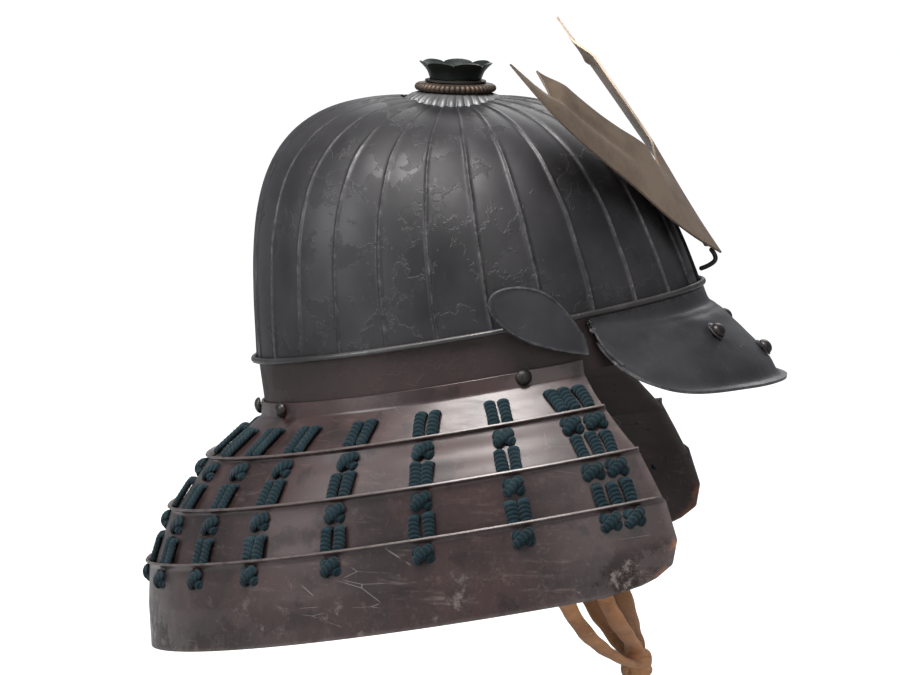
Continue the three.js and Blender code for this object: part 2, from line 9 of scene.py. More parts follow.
import bpy
import numpy as np
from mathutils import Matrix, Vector


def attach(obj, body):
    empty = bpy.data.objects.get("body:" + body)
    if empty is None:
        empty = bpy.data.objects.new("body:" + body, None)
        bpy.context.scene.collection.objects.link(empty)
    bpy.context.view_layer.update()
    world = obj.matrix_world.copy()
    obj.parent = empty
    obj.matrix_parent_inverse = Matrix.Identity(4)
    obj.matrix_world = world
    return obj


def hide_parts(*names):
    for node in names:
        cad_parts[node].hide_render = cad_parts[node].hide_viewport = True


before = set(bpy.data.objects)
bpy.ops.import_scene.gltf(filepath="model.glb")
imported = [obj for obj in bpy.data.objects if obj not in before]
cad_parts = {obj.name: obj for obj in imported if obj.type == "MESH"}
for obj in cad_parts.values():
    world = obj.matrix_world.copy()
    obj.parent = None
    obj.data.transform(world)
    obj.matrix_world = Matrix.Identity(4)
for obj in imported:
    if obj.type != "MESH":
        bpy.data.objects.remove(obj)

log = logging.getLogger("kabuto")
Array = np.ndarray
MM = 0.001
ROOT = "root"
TILT = math.radians(10.0)  # how far the front of the helmet is raised
SEED = 11


# ---------- placing ----------


def at(x: Array | float, forward: Array | float, up: Array | float) -> Array:
    """Turns helmet places into row places, in metres.

    Args:
        x: distance to the wearer's left, in millimetres.
        forward: distance towards the visor in the plane of the bowl's foot.
        up: distance above the head opening, square to that plane.

    Returns:
        An array whose last axis is the point in the tilted row frame.
    """
    x, forward, up = np.broadcast_arrays(np.asarray(x, float), forward, up)
    cos, sin = math.cos(TILT), math.sin(TILT)
    return np.stack([x, up * sin - forward * cos, forward * sin + up * cos], axis=-1) * MM


def mix(a: Array | float, b: Array | float, t: Array | float) -> Array | float:
    """Blends from a to b."""
    return a + (b - a) * t


def smooth(low: float, high: float, value: Array) -> Array:
    """An eased step from 0 at low to 1 at high."""
    t = np.clip((value - low) / (high - low), 0.0, 1.0)
    return t * t * (3.0 - 2.0 * t)


def ripple(u: Array, v: Array, seed: int, count: int = 6, reach: float = 3.0) -> Array:
    """Soft unevenness: a sum of sine waves whose directions and phases come from the seed."""
    rng = np.random.default_rng(SEED + seed)
    total = np.zeros(np.broadcast(u, v).shape)
    for _ in range(count):
        a, b = rng.integers(1, int(reach) + 2, 2)
        phase = rng.uniform(0, 2 * math.pi, 2)
        total += np.sin(2 * math.pi * a * u + phase[0]) * np.sin(2 * math.pi * b * v + phase[1])
    return total / count


def unit(vectors: Array) -> Array:
    """Vectors of length one."""
    return vectors / np.maximum(np.linalg.norm(vectors, axis=-1, keepdims=True), 1e-12)


def grid_normals(points: Array, loop_u: bool, centre: Array) -> Array:
    """Normals of a grid, the cross product of its central differences, turned away from a centre."""
    if loop_u:
        along = np.roll(points, -1, 0) - np.roll(points, 1, 0)
    else:
        along = np.gradient(points, axis=0)
    normals = unit(np.cross(along, np.gradient(points, axis=1)))
    away = np.sum(normals * (points - centre), axis=-1, keepdims=True)
    return np.where(away < 0, -normals, normals)


def grid_faces(rows: int, cols: int, loop_u: bool, loop_v: bool, start: int = 0) -> Array:
    """Quads of a grid, wrapped round where it is a loop."""
    i = np.arange(rows if loop_u else rows - 1)[:, None]
    j = np.arange(cols if loop_v else cols - 1)[None, :]
    i2, j2 = (i + 1) % rows, (j + 1) % cols
    quads = np.stack([i * cols + j, i2 * cols + j, i2 * cols + j2, i * cols + j2], axis=-1)
    return quads.reshape(-1, 4) + start


def signed_volume(points: Array, quads: Array) -> float:
    """Volume by the sum of tetrahedra, negative where a closed shape is inside out."""
    a, b, c, d = (points[quads[:, k]] for k in range(4))
    return float(np.sum(a * np.cross(b, c)) + np.sum(a * np.cross(c, d))) / 6.0


@dataclass
class Part:
    """Points, quads and named values of one closed shape, before it becomes a mesh."""

    points: Array
    quads: Array
    values: dict[str, Array] = field(default_factory=dict)

    def outward(self) -> "Part":
        """The same shape with its faces pointing out."""
        if signed_volume(self.points, self.quads) < 0:
            self.quads = self.quads[:, ::-1]
        return self

    @staticmethod
    def join(parts: Sequence["Part"]) -> "Part":
        """All the parts as one."""
        offsets = np.cumsum([0] + [len(p.points) for p in parts[:-1]])
        names = parts[0].values.keys()
        return Part(
            np.concatenate([p.points for p in parts]),
            np.concatenate([p.quads + o for p, o in zip(parts, offsets)]),
            {n: np.concatenate([p.values[n] for p in parts]) for n in names},
        )


def wall(
    outer: Array,
    thickness: Array | float,
    loop_u: bool = False,
    centre: Array | None = None,
    values: dict[str, Array] | None = None,
) -> Part:
    """A closed wall: a grid of outer points, the same grid set back along its normals, and edges.

    Args:
        outer: grid of points.
        thickness: wall in millimetres.
        loop_u: whether the first axis closes on itself.
        centre: a point that the outer face looks away from.
        values: named numbers for each outer point, repeated on the inner face.

    Returns:
        The closed part.
    """
    middle = at(0, 0, 0) if centre is None else centre
    rows, cols = outer.shape[:2]
    inner = outer - grid_normals(outer, loop_u, middle) * thickness * MM
    count = rows * cols
    front = grid_faces(rows, cols, loop_u, False)
    back = grid_faces(rows, cols, loop_u, False, count)[:, ::-1]
    i = np.arange(rows if loop_u else rows - 1)
    i2 = (i + 1) % rows
    top = np.stack([i * cols, i * cols + count, i2 * cols + count, i2 * cols], axis=-1)
    end = cols - 1
    low = np.stack([i * cols + end, i2 * cols + end, i2 * cols + end + count, i * cols + end + count], -1)
    quads = [front, back, top, low]
    if not loop_u:
        j = np.arange(cols - 1)
        last = (rows - 1) * cols
        quads.append(np.stack([j, j + 1, j + 1 + count, j + count], axis=-1))
        quads.append(np.stack([last + j, last + j + count, last + j + 1 + count, last + j + 1], axis=-1))
    doubled = {k: np.concatenate([v.ravel(), v.ravel()]) for k, v in (values or {}).items()}
    points = np.concatenate([outer.reshape(-1, 3), inner.reshape(-1, 3)])
    return Part(points, np.concatenate(quads), doubled).outward()


def spline(points: Sequence[Sequence[float]], count: int, tension: float = 0.5) -> Array:
    """A smooth curve through points, evenly spaced: a Catmull-Rom cubic between each pair."""
    p = np.asarray(points, float)
    p = np.concatenate([2 * p[:1] - p[1:2], p, 2 * p[-1:] - p[-2:-1]])
    t = np.linspace(0, 1, 24, endpoint=False)[None, :, None]
    a, b, c, d = p[:-3, None], p[1:-2, None], p[2:-1, None], p[3:, None]
    m1, m2 = (c - a) * tension, (d - b) * tension
    curve = (2 * t**3 - 3 * t**2 + 1) * b + (t**3 - 2 * t**2 + t) * m1
    curve = curve + (3 * t**2 - 2 * t**3) * c + (t**3 - t**2) * m2
    fine = np.concatenate([curve.reshape(-1, p.shape[1]), p[-2:-1]])
    far = np.concatenate([[0], np.cumsum(np.linalg.norm(np.diff(fine, axis=0), axis=1))])
    want = np.linspace(0, far[-1], count)
    return np.stack([np.interp(want, far, fine[:, k]) for k in range(fine.shape[1])], axis=-1)


def tube(
    path: Array,
    half_wide: Array | float,
    half_thick: Array | float,
    across: Array,
    sides: int = 16,
    relief: Callable[[Array, Array], Array] | None = None,
    round_ends: bool = True,
) -> Part:
    """A closed tube: an oval carried along a path, drawn in at its ends, with a relief on its skin.

    Args:
        path: points in metres.
        half_wide: half width in millimetres, along `across`.
        half_thick: half thickness in millimetres.
        across: the wide direction of the section, one vector or one for each point.
        sides: points round the section.
        relief: height in millimetres from the angle and the distance along, in millimetres.
        round_ends: whether the last stretch at each end closes in a curve.

    Returns:
        The closed part, with values `along` in millimetres and `around` in turns.
    """
    steps = len(path)
    direction = unit(np.gradient(path, axis=0))
    wide = np.broadcast_to(across, path.shape)
    wide = unit(wide - direction * np.sum(wide * direction, axis=-1, keepdims=True))
    thick = np.cross(direction, wide)
    angle = np.linspace(0, 2 * math.pi, sides, endpoint=False)
    far = np.concatenate([[0], np.cumsum(np.linalg.norm(np.diff(path, axis=0), axis=1))]) / MM
    raised = 0.0 if relief is None else relief(angle[None, :], far[:, None])
    edge = np.minimum(far, far[-1] - far)
    reach = float(np.mean(half_thick)) * 0.9
    cap = np.ones(steps)
    if round_ends:
        cap = np.sqrt(np.clip(1 - (1 - np.clip(edge / reach, 0, 1)) ** 2, 0.02, 1))
    size_w = (np.broadcast_to(half_wide, steps)[:, None] + raised) * cap[:, None]
    size_t = (np.broadcast_to(half_thick, steps)[:, None] + raised) * cap[:, None]
    ring = (
        path[:, None]
        + wide[:, None] * (size_w * np.cos(angle))[..., None] * MM
        + thick[:, None] * (size_t * np.sin(angle))[..., None] * MM
    )
    quads = grid_faces(steps, sides, False, True)
    points = np.concatenate([ring.reshape(-1, 3), path[:1], path[-1:]])
    near = np.arange(sides)
    last = (steps - 1) * sides
    hub = steps * sides
    beside = (near + 1) % sides
    middles = np.full(sides, hub), np.full(sides, hub + 1)
    first_fan = np.stack([near, beside, middles[0], middles[0]], axis=-1)
    last_fan = np.stack([last + beside, last + near, middles[1], middles[1]], axis=-1)
    along = np.concatenate([np.repeat(far, sides), [0, far[-1]]])
    around = np.concatenate([np.tile(angle / (2 * math.pi), steps), [0, 0]])
    part = Part(points, np.concatenate([quads, first_fan, last_fan]), {"along": along, "around": around})
    return part.outward()


def turned(profile: Sequence[Sequence[float]], segments: int, shape: Callable | None = None) -> Part:
    """A ring turned from a closed section, whose radius and height may change round it.

    Args:
        profile: closed list of radius and height, in millimetres.
        segments: points round the ring.
        shape: takes angle, radius and height arrays and gives back radius and height.

    Returns:
        The closed part about the Z axis at the origin.
    """
    r, z = (np.asarray(c, float)[None, :] for c in zip(*profile))
    angle = np.linspace(0, 2 * math.pi, segments, endpoint=False)[:, None]
    r, z = np.broadcast_to(r, (segments, r.shape[1])), np.broadcast_to(z, (segments, z.shape[1]))
    if shape is not None:
        r, z = shape(angle, r, z)
    points = np.stack([r * np.cos(angle), r * np.sin(angle), z], axis=-1) * MM
    quads = grid_faces(segments, points.shape[1], True, True)
    return Part(points.reshape(-1, 3), quads).outward()


def seat(part: Part, place: Array, normal: Array, facing: Array | None = None) -> Part:
    """Moves a part from the origin to a place, with its Z axis along the normal."""
    up = unit(np.asarray(normal, float))
    guide = np.array([0.0, 0.0, 1.0]) if facing is None else facing
    guide = guide if abs(np.dot(guide, up)) < 0.95 else np.array([0.0, 1.0, 0.0])
    side = unit(np.cross(guide, up))
    ahead = np.cross(up, side)
    part.points = place + part.points @ np.stack([side, ahead, up])
    return part


class Rounding(Enum):
    """How a piece's edges are finished."""

    SHARP = 0
    SOFT = 1


def make(
    name: str,
    part: Part,
    material: bpy.types.Material,
    nodes: Sequence[str],
    rounding: Rounding = Rounding.SHARP,
) -> bpy.types.Object:
    """Puts a part into the scene as a smooth mesh that rides on the helmet.

    Args:
        name: the piece's name.
        part: its shape.
        material: its finish.
        nodes: the plain solids that it stands for.
        rounding: whether its edges get a small bevel.

    Returns:
        The new object.
    """
    mesh = bpy.data.meshes.new(name)
    quads = [list(dict.fromkeys(q)) for q in part.quads.tolist()]
    mesh.from_pydata(part.points.tolist(), [], quads)
    for key, data in part.values.items():
        mesh.attributes.new(key, "FLOAT", "POINT").data.foreach_set("value", data.astype(np.float32))
    mesh.polygons.foreach_set("use_smooth", np.ones(len(mesh.polygons), dtype=bool))
    mesh.set_sharp_from_angle(angle=math.radians(50))
    mesh.materials.append(material)
    piece = bpy.data.objects.new(name, mesh)
    bpy.context.scene.collection.objects.link(piece)
    if rounding is Rounding.SOFT:
        bevel = piece.modifiers.new("soft edge", "BEVEL")
        bevel.width = 0.35 * MM
        bevel.segments = 2
        bevel.limit_method = "ANGLE"
        bevel.angle_limit = math.radians(50)
    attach(piece, ROOT)
    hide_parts(*nodes)
    log.info("%s: %d faces", name, len(mesh.polygons))
    return piece


# ---------- finishes ----------

Colour = tuple[float, float, float]


class Link:
    """A shader socket that can be reckoned with: each operator adds one Math node."""

    def __init__(self, finish: "Finish", socket: bpy.types.NodeSocket) -> None:
        """Keeps the socket and the finish it belongs to."""
        self.finish = finish
        self.socket = socket

    def _math(self, operation: str, *values: "Link | float") -> "Link":
        """One Math node on these values."""
        return self.finish.node("ShaderNodeMath", {"operation": operation}, dict(enumerate(values)))

    def __add__(self, other: "Link | float") -> "Link":
        """Sum."""
        return self._math("ADD", self, other)

    __radd__ = __add__

    def __mul__(self, other: "Link | float") -> "Link":
        """Product."""
        return self._math("MULTIPLY", self, other)

    __rmul__ = __mul__

    def __sub__(self, other: "Link | float") -> "Link":
        """Difference."""
        return self._math("SUBTRACT", self, other)

    def __rsub__(self, other: "Link | float") -> "Link":
        """Difference, the other way round."""
        return self._math("SUBTRACT", other, self)

    def sine(self) -> "Link":
        """Sine of the value in radians."""
        return self._math("SINE", self)

    def size(self) -> "Link":
        """The value without its sign."""
        return self._math("ABSOLUTE", self)

    def between(self, low: float, high: float) -> "Link":
        """0 below low, 1 above high, eased in between."""
        return self.finish.node(
            "ShaderNodeMapRange",
            {"interpolation_type": "SMOOTHSTEP"},
            {"Value": self, "From Min": low, "From Max": high},
        )


class Finish:
    """A procedural material made of a Principled shader and the nodes that feed it."""

    def __init__(self, name: str) -> None:
        """Starts a material with an empty Principled shader."""
        self.material = bpy.data.materials.new(name)
        self.material.use_nodes = True
        self.tree = self.material.node_tree
        self.shader = self.tree.nodes["Principled BSDF"]
        self.place = self.node("ShaderNodeTexCoord", {}, {}, "Object")

    def node(self, kind: str, settings: dict, inputs: dict, output: str | int = 0) -> Link:
        """Adds one node.

        Args:
            kind: the node's type.
            settings: its own properties, set first; `stops` fills a ramp.
            inputs: socket names or numbers, each with a value or a Link.
            output: which output to give back.

        Returns:
            The output as a Link.
        """
        made = self.tree.nodes.new(kind)
        for key, value in settings.items():
            setattr(made, key, value)
        for key, value in inputs.items():
            self._feed(made.inputs[key], value)
        return Link(self, made.outputs[output])

    def _feed(self, socket: bpy.types.NodeSocket, value: "Link | float | Sequence[float]") -> None:
        """Joins a Link to a socket, or sets a plain value on it."""
        if isinstance(value, Link):
            self.tree.links.new(value.socket, socket)
        elif isinstance(value, tuple) and len(value) == 3 and socket.type == "RGBA":
            socket.default_value = (*value, 1.0)
        else:
            socket.default_value = value

    def blend(self, a: "Link | Colour", b: "Link | Colour", factor: "Link | float") -> Link:
        """Mixes two colours."""
        made = self.tree.nodes.new("ShaderNodeMix")
        made.data_type = "RGBA"
        self._feed(made.inputs[0], factor)
        self._feed(made.inputs[6], a)
        self._feed(made.inputs[7], b)
        return Link(self, made.outputs[2])

    def stretch(self, scale: Sequence[float], turn: Sequence[float] = (0, 0, 0)) -> Link:
        """Object places, turned and scaled, for grain that runs one way."""
        return self.node("ShaderNodeMapping", {}, {"Vector": self.place, "Scale": scale, "Rotation": turn})

    def noise(
        self, scale: float, detail: float = 4.0, rough: float = 0.55, place: Link | None = None
    ) -> Link:
        """Cloudy noise with `scale` cells a metre."""
        inputs = {"Vector": place or self.place, "Scale": scale, "Detail": detail, "Roughness": rough}
        return self.node("ShaderNodeTexNoise", {}, inputs)

    def cells(self, scale: float, feature: str = "DISTANCE_TO_EDGE", place: Link | None = None) -> Link:
        """Distance to the edges of scattered cells."""
        inputs = {"Vector": place or self.place, "Scale": scale}
        return self.node("ShaderNodeTexVoronoi", {"feature": feature}, inputs)

    def value(self, name: str) -> Link:
        """A number stored on the mesh."""
        return self.node("ShaderNodeAttribute", {"attribute_name": name}, {}, "Fac")

    def bump(self, height: Link, depth: float, strength: float = 0.6) -> None:
        """Feeds a height, in metres when multiplied by depth, to the shader's normal."""
        inputs = {"Height": height, "Distance": depth, "Strength": strength}
        self._feed(self.shader.inputs["Normal"], self.node("ShaderNodeBump", {}, inputs))

    def set(self, **values: "Link | float | Colour") -> "Finish":
        """Sets shader sockets: base_color becomes Base Color, and so on."""
        names = {"ior": "IOR", "specular_ior_level": "Specular IOR Level"}
        for key, value in values.items():
            self._feed(self.shader.inputs[names.get(key, key.replace("_", " ").title())], value)
        return self


@dataclass(frozen=True)
class WornIron:
    """Iron under old lacquer: clouded, flaking in patches, rubbed bright where an edge stands up, with a
    painted highlight laid along that edge too.
    """

    name: str
    dark: Colour
    pale: Colour
    rubbed: Colour
    metal: float = 0.6
    rough: float = 0.42
    edge: str = ""
    flakes: float = 0.5
    # strength of the rubbed wear and painted highlight laid along the edge value
    worn: float = 0.45

    def build(self) -> bpy.types.Material:
        """Makes the material."""
        f = Finish(self.name)
        cloud = f.noise(14, 5, 0.6)
        grain = f.noise(260, 6, 0.7)
        patch = f.noise(34, 7, 0.62)
        flake = patch.between(0.53, 0.555) * self.flakes
        rim = patch.between(0.515, 0.53) * (1.0 - patch.between(0.53, 0.55)) * self.flakes
        scuff = f.noise(90, 8, 0.75).between(0.58, 0.72)
        body = f.blend(self.dark, self.pale, cloud.between(0.3, 0.75))
        body = f.blend(body, self.dark, flake * 0.6)
        body = f.blend(body, self.rubbed, rim * 0.03 + scuff * 0.1)
        roughness = self.rough + cloud * 0.12 + flake * 0.14 + grain * 0.06 - 0.06
        if self.edge:
            # Rubbed wear and painted highlight: the rubbed colour is laid along the edge value; on the bowl's
            # ribs it stands in for the ribs catching the light.
            wear = f.value(self.edge) * f.noise(150, 6, 0.8).between(0.4, 0.68) * self.worn
            body = f.blend(body, self.rubbed, wear)
            roughness = roughness - wear * 0.1
        f.set(base_color=body, roughness=roughness, metallic=self.metal)
        f.bump(grain * 0.12 + patch.between(0.52, 0.54) * self.flakes * 0.5 + cloud * 0.8, 0.0006, 0.5)
        return f.material


@dataclass(frozen=True)
class OldLacquer:
    """Brown lacquer with a burgundy cast over iron: glossy where whole, chalky where it is rubbed, with a
    painted highlight along its edges.
    """

    name: str
    body: Colour
    deep: Colour
    chalk: Colour
    wear: float
    low_damage: float = 0.0

    def build(self) -> bpy.types.Material:
        """Makes the material."""
        f = Finish(self.name)
        cloud = f.noise(16, 6, 0.6)
        speck = f.noise(420, 4, 0.7)
        blotch = f.noise(42, 7, 0.65)
        drag = f.noise(60, 6, 0.7, f.stretch((0.5, 0.5, 3.0), (0.2, 0, 0)))
        edge = f.value("edge")
        low = f.value("low")
        colour = f.blend(self.body, self.deep, cloud.between(0.42, 0.68))
        colour = f.blend(colour, self.deep, blotch.between(0.54, 0.62) * 0.85)
        colour = f.blend(colour, self.chalk, drag.between(0.55, 0.76) * (0.2 + self.wear))
        colour = f.blend(colour, self.chalk, speck.between(0.58, 0.7) * (0.08 + self.wear * 0.4))
        lost = f.noise(28, 8, 0.7)
        damage = low * self.low_damage * lost.between(0.46, 0.53)
        colour = f.blend(colour, (0.014, 0.0065, 0.0058), damage)
        rub = low * self.low_damage * f.noise(55, 8, 0.75).between(0.56, 0.66)
        colour = f.blend(colour, (0.2, 0.17, 0.155), rub * 0.7)
        mottle = 1.0 - blotch.between(0.32, 0.47)
        colour = f.blend(colour, self.chalk, mottle * speck.between(0.42, 0.6) * (0.1 + self.wear * 0.5))
        scratch = f.cells(22, "DISTANCE_TO_EDGE", f.stretch((1.0, 1.0, 4.5), (0.5, 0.4, 0.2)))
        line = (1.0 - scratch.between(0.0, 0.012)) * f.noise(30, 3).between(0.55, 0.6)
        colour = f.blend(colour, (0.3, 0.27, 0.25), line * self.wear)
        # Painted highlight: a pale grey laid along the lames' rims and edges, where their thin edges catch
        # the light.
        bright = edge * f.noise(120, 5, 0.7).between(0.25, 0.55)
        colour = f.blend(colour, (0.11, 0.09, 0.085), bright * 0.6)
        copper = f.value("copper") * f.noise(80, 5, 0.7).between(0.42, 0.6)
        colour = f.blend(colour, (0.34, 0.12, 0.05), copper)
        roughness = 0.3 + cloud * 0.16 + drag.between(0.5, 0.75) * 0.2 + damage * 0.38 + speck * 0.08
        f.set(base_color=colour, roughness=roughness, metallic=0.25)
        f.set(coat_weight=0.5 - damage * 0.45 - drag.between(0.5, 0.7) * 0.2, coat_roughness=0.24)
        f.bump(speck * 0.06 + blotch * 0.5 + damage * -0.35 + drag * 0.06, 0.0007, 0.45)
        return f.material


@dataclass(frozen=True)
class Braid:
    """Braided cord: plaited strands by the distance along and the turn around each cord, with painted shade
    in the grooves between them.
    """

    name: str
    deep: Colour
    light: Colour
    dusty: Colour
    pitch: float = 2.4

    def build(self) -> bpy.types.Material:
        """Makes the material."""
        f = Finish(self.name)
        along, around = f.value("along"), f.value("around")
        turn = 2 * math.pi
        slant = (around * turn).sine().size() * 5.0
        plait = ((along * (turn / self.pitch)) + slant).sine() * 0.5 + 0.5
        thread = (along * (turn / 0.55) + around * (turn * 9)).sine() * 0.5 + 0.5
        fuzz = f.noise(1400, 4, 0.8)
        fade = f.noise(60, 4, 0.6)
        # Painted shade: the colour darkens into the grooves of the plait and threads, the same relief that
        # the bump gives.
        colour = f.blend(self.deep, self.light, plait * 0.7 + thread * 0.2)
        colour = f.blend(colour, self.dusty, fade.between(0.5, 0.75) * 0.45 + fuzz.between(0.55, 0.75) * 0.3)
        f.set(base_color=colour, roughness=0.92, sheen_weight=0.06, specular_ior_level=0.2)
        f.bump(plait * 0.6 + thread * 0.25 + fuzz * 0.5, 0.0007, 0.8)
        return f.material


@dataclass(frozen=True)
class PlainMetal:
    """Cast or beaten metal with tarnish in cloudy patches and fine grain."""

    name: str
    face: Colour
    tarnish: Colour
    metal: float
    rough: float
    scale: float = 60.0
    grain: tuple[float, float, float] = (1.0, 1.0, 1.0)
    relief: float = 0.45

    def build(self) -> bpy.types.Material:
        """Makes the material."""
        f = Finish(self.name)
        cloud = f.noise(self.scale, 6, 0.65)
        fine = f.noise(self.scale * 7, 5, 0.7, f.stretch(self.grain))
        spot = f.noise(self.scale * 2.6, 6, 0.7).between(0.56, 0.66)
        colour = f.blend(self.face, self.tarnish, cloud.between(0.4, 0.7) * 0.7 + spot * 0.3)
        f.set(base_color=colour, roughness=self.rough + cloud * 0.14 + fine * 0.1, metallic=self.metal)
        f.bump(fine * 0.4 + cloud, 0.0004, self.relief)
        return f.material


@dataclass(frozen=True)
class SoftLeather:
    """Soft tan hide: creased across, rubbed pale on its folds."""

    name: str
    tan: Colour
    shade: Colour
    rubbed: Colour

    def build(self) -> bpy.types.Material:
        """Makes the material."""
        f = Finish(self.name)
        cloud = f.noise(45, 5, 0.6)
        pore = f.cells(900, "F1")
        crease = f.noise(150, 5, 0.7, f.stretch((1.0, 1.0, 3.2)))
        colour = f.blend(self.tan, self.shade, cloud.between(0.4, 0.7))
        colour = f.blend(colour, self.rubbed, crease.between(0.55, 0.7) * 0.6)
        f.set(base_color=colour, roughness=0.78 + cloud * 0.15, sheen_weight=0.2)
        f.bump(crease * 0.9 + pore * 0.3 + cloud * 0.5, 0.0009, 0.7)
        return f.material


class Finishes:
    """Every finish of the helmet, made once."""

    def __init__(self) -> None:
        """Builds the materials."""
        brown, deep, chalk = (0.036, 0.0175, 0.0165), (0.012, 0.0048, 0.0046), (0.125, 0.092, 0.085)
        # The bowl's rubbed colour is also the painted highlight along its ribs.
        self.bowl = WornIron(
            "dark lacquered iron", (0.0115, 0.0105, 0.012), (0.036, 0.0335, 0.0365), (0.17, 0.16, 0.16),
            metal=0.35, edge="rib", flakes=0.8,
        ).build()
        self.rim = WornIron(
            "worn rim iron", (0.035, 0.033, 0.033), (0.1, 0.095, 0.095), (0.3, 0.28, 0.27), rough=0.34
        ).build()
        self.band = WornIron(
            "brown band iron", (0.018, 0.01, 0.0095), (0.034, 0.0195, 0.018), (0.08, 0.062, 0.056), 0.25, 0.5
        ).build()
        self.visor = WornIron(
            "pewter iron", (0.028, 0.0275, 0.031), (0.062, 0.061, 0.067), (0.2, 0.19, 0.185),
            metal=0.45, rough=0.38, edge="edge", flakes=0.3,
        ).build()
        self.rivet = WornIron(
            "rivet iron", (0.018, 0.014, 0.0135), (0.045, 0.038, 0.037), (0.15, 0.13, 0.125), 0.45, 0.34
        ).build()
        wear, low_damage = (0.1, 0.14, 0.22, 0.42), (0, 0, 0.1, 1)
        self.lames = [
            OldLacquer(f"lame lacquer {n + 1}", brown, deep, chalk, wear[n], low_damage[n]).build()
            for n in range(4)
        ]
        # The braid's deep colour is the painted shade in its grooves.
        self.lace = Braid(
            "teal braid", (0.0018, 0.0075, 0.0105), (0.0065, 0.0235, 0.031), (0.022, 0.046, 0.056)
        ).build()
        self.silver = PlainMetal("silvered ring", (0.15, 0.15, 0.155), (0.05, 0.05, 0.052), 0.6, 0.38).build()
        self.bronze = PlainMetal("bronze ring", (0.085, 0.06, 0.043), (0.03, 0.025, 0.022), 0.65, 0.4).build()
        self.plate = PlainMetal("dark plate", (0.035, 0.03, 0.025), (0.015, 0.014, 0.013), 0.55, 0.4).build()
        self.cup = PlainMetal(
            "green black cup", (0.005, 0.0095, 0.0085), (0.014, 0.022, 0.02), 0.4, 0.28
        ).build()
        self.crest = PlainMetal(
            "pale gold plate", (0.25, 0.185, 0.135), (0.11, 0.078, 0.056), 0.6, 0.36,
            scale=20.0, grain=(1.0, 6.0, 6.0), relief=0.08,
        ).build()
        self.leather = SoftLeather(
            "tan hide", (0.52, 0.25, 0.11), (0.35, 0.155, 0.065), (0.62, 0.38, 0.21)
        ).build()


# ---------- bowl ----------


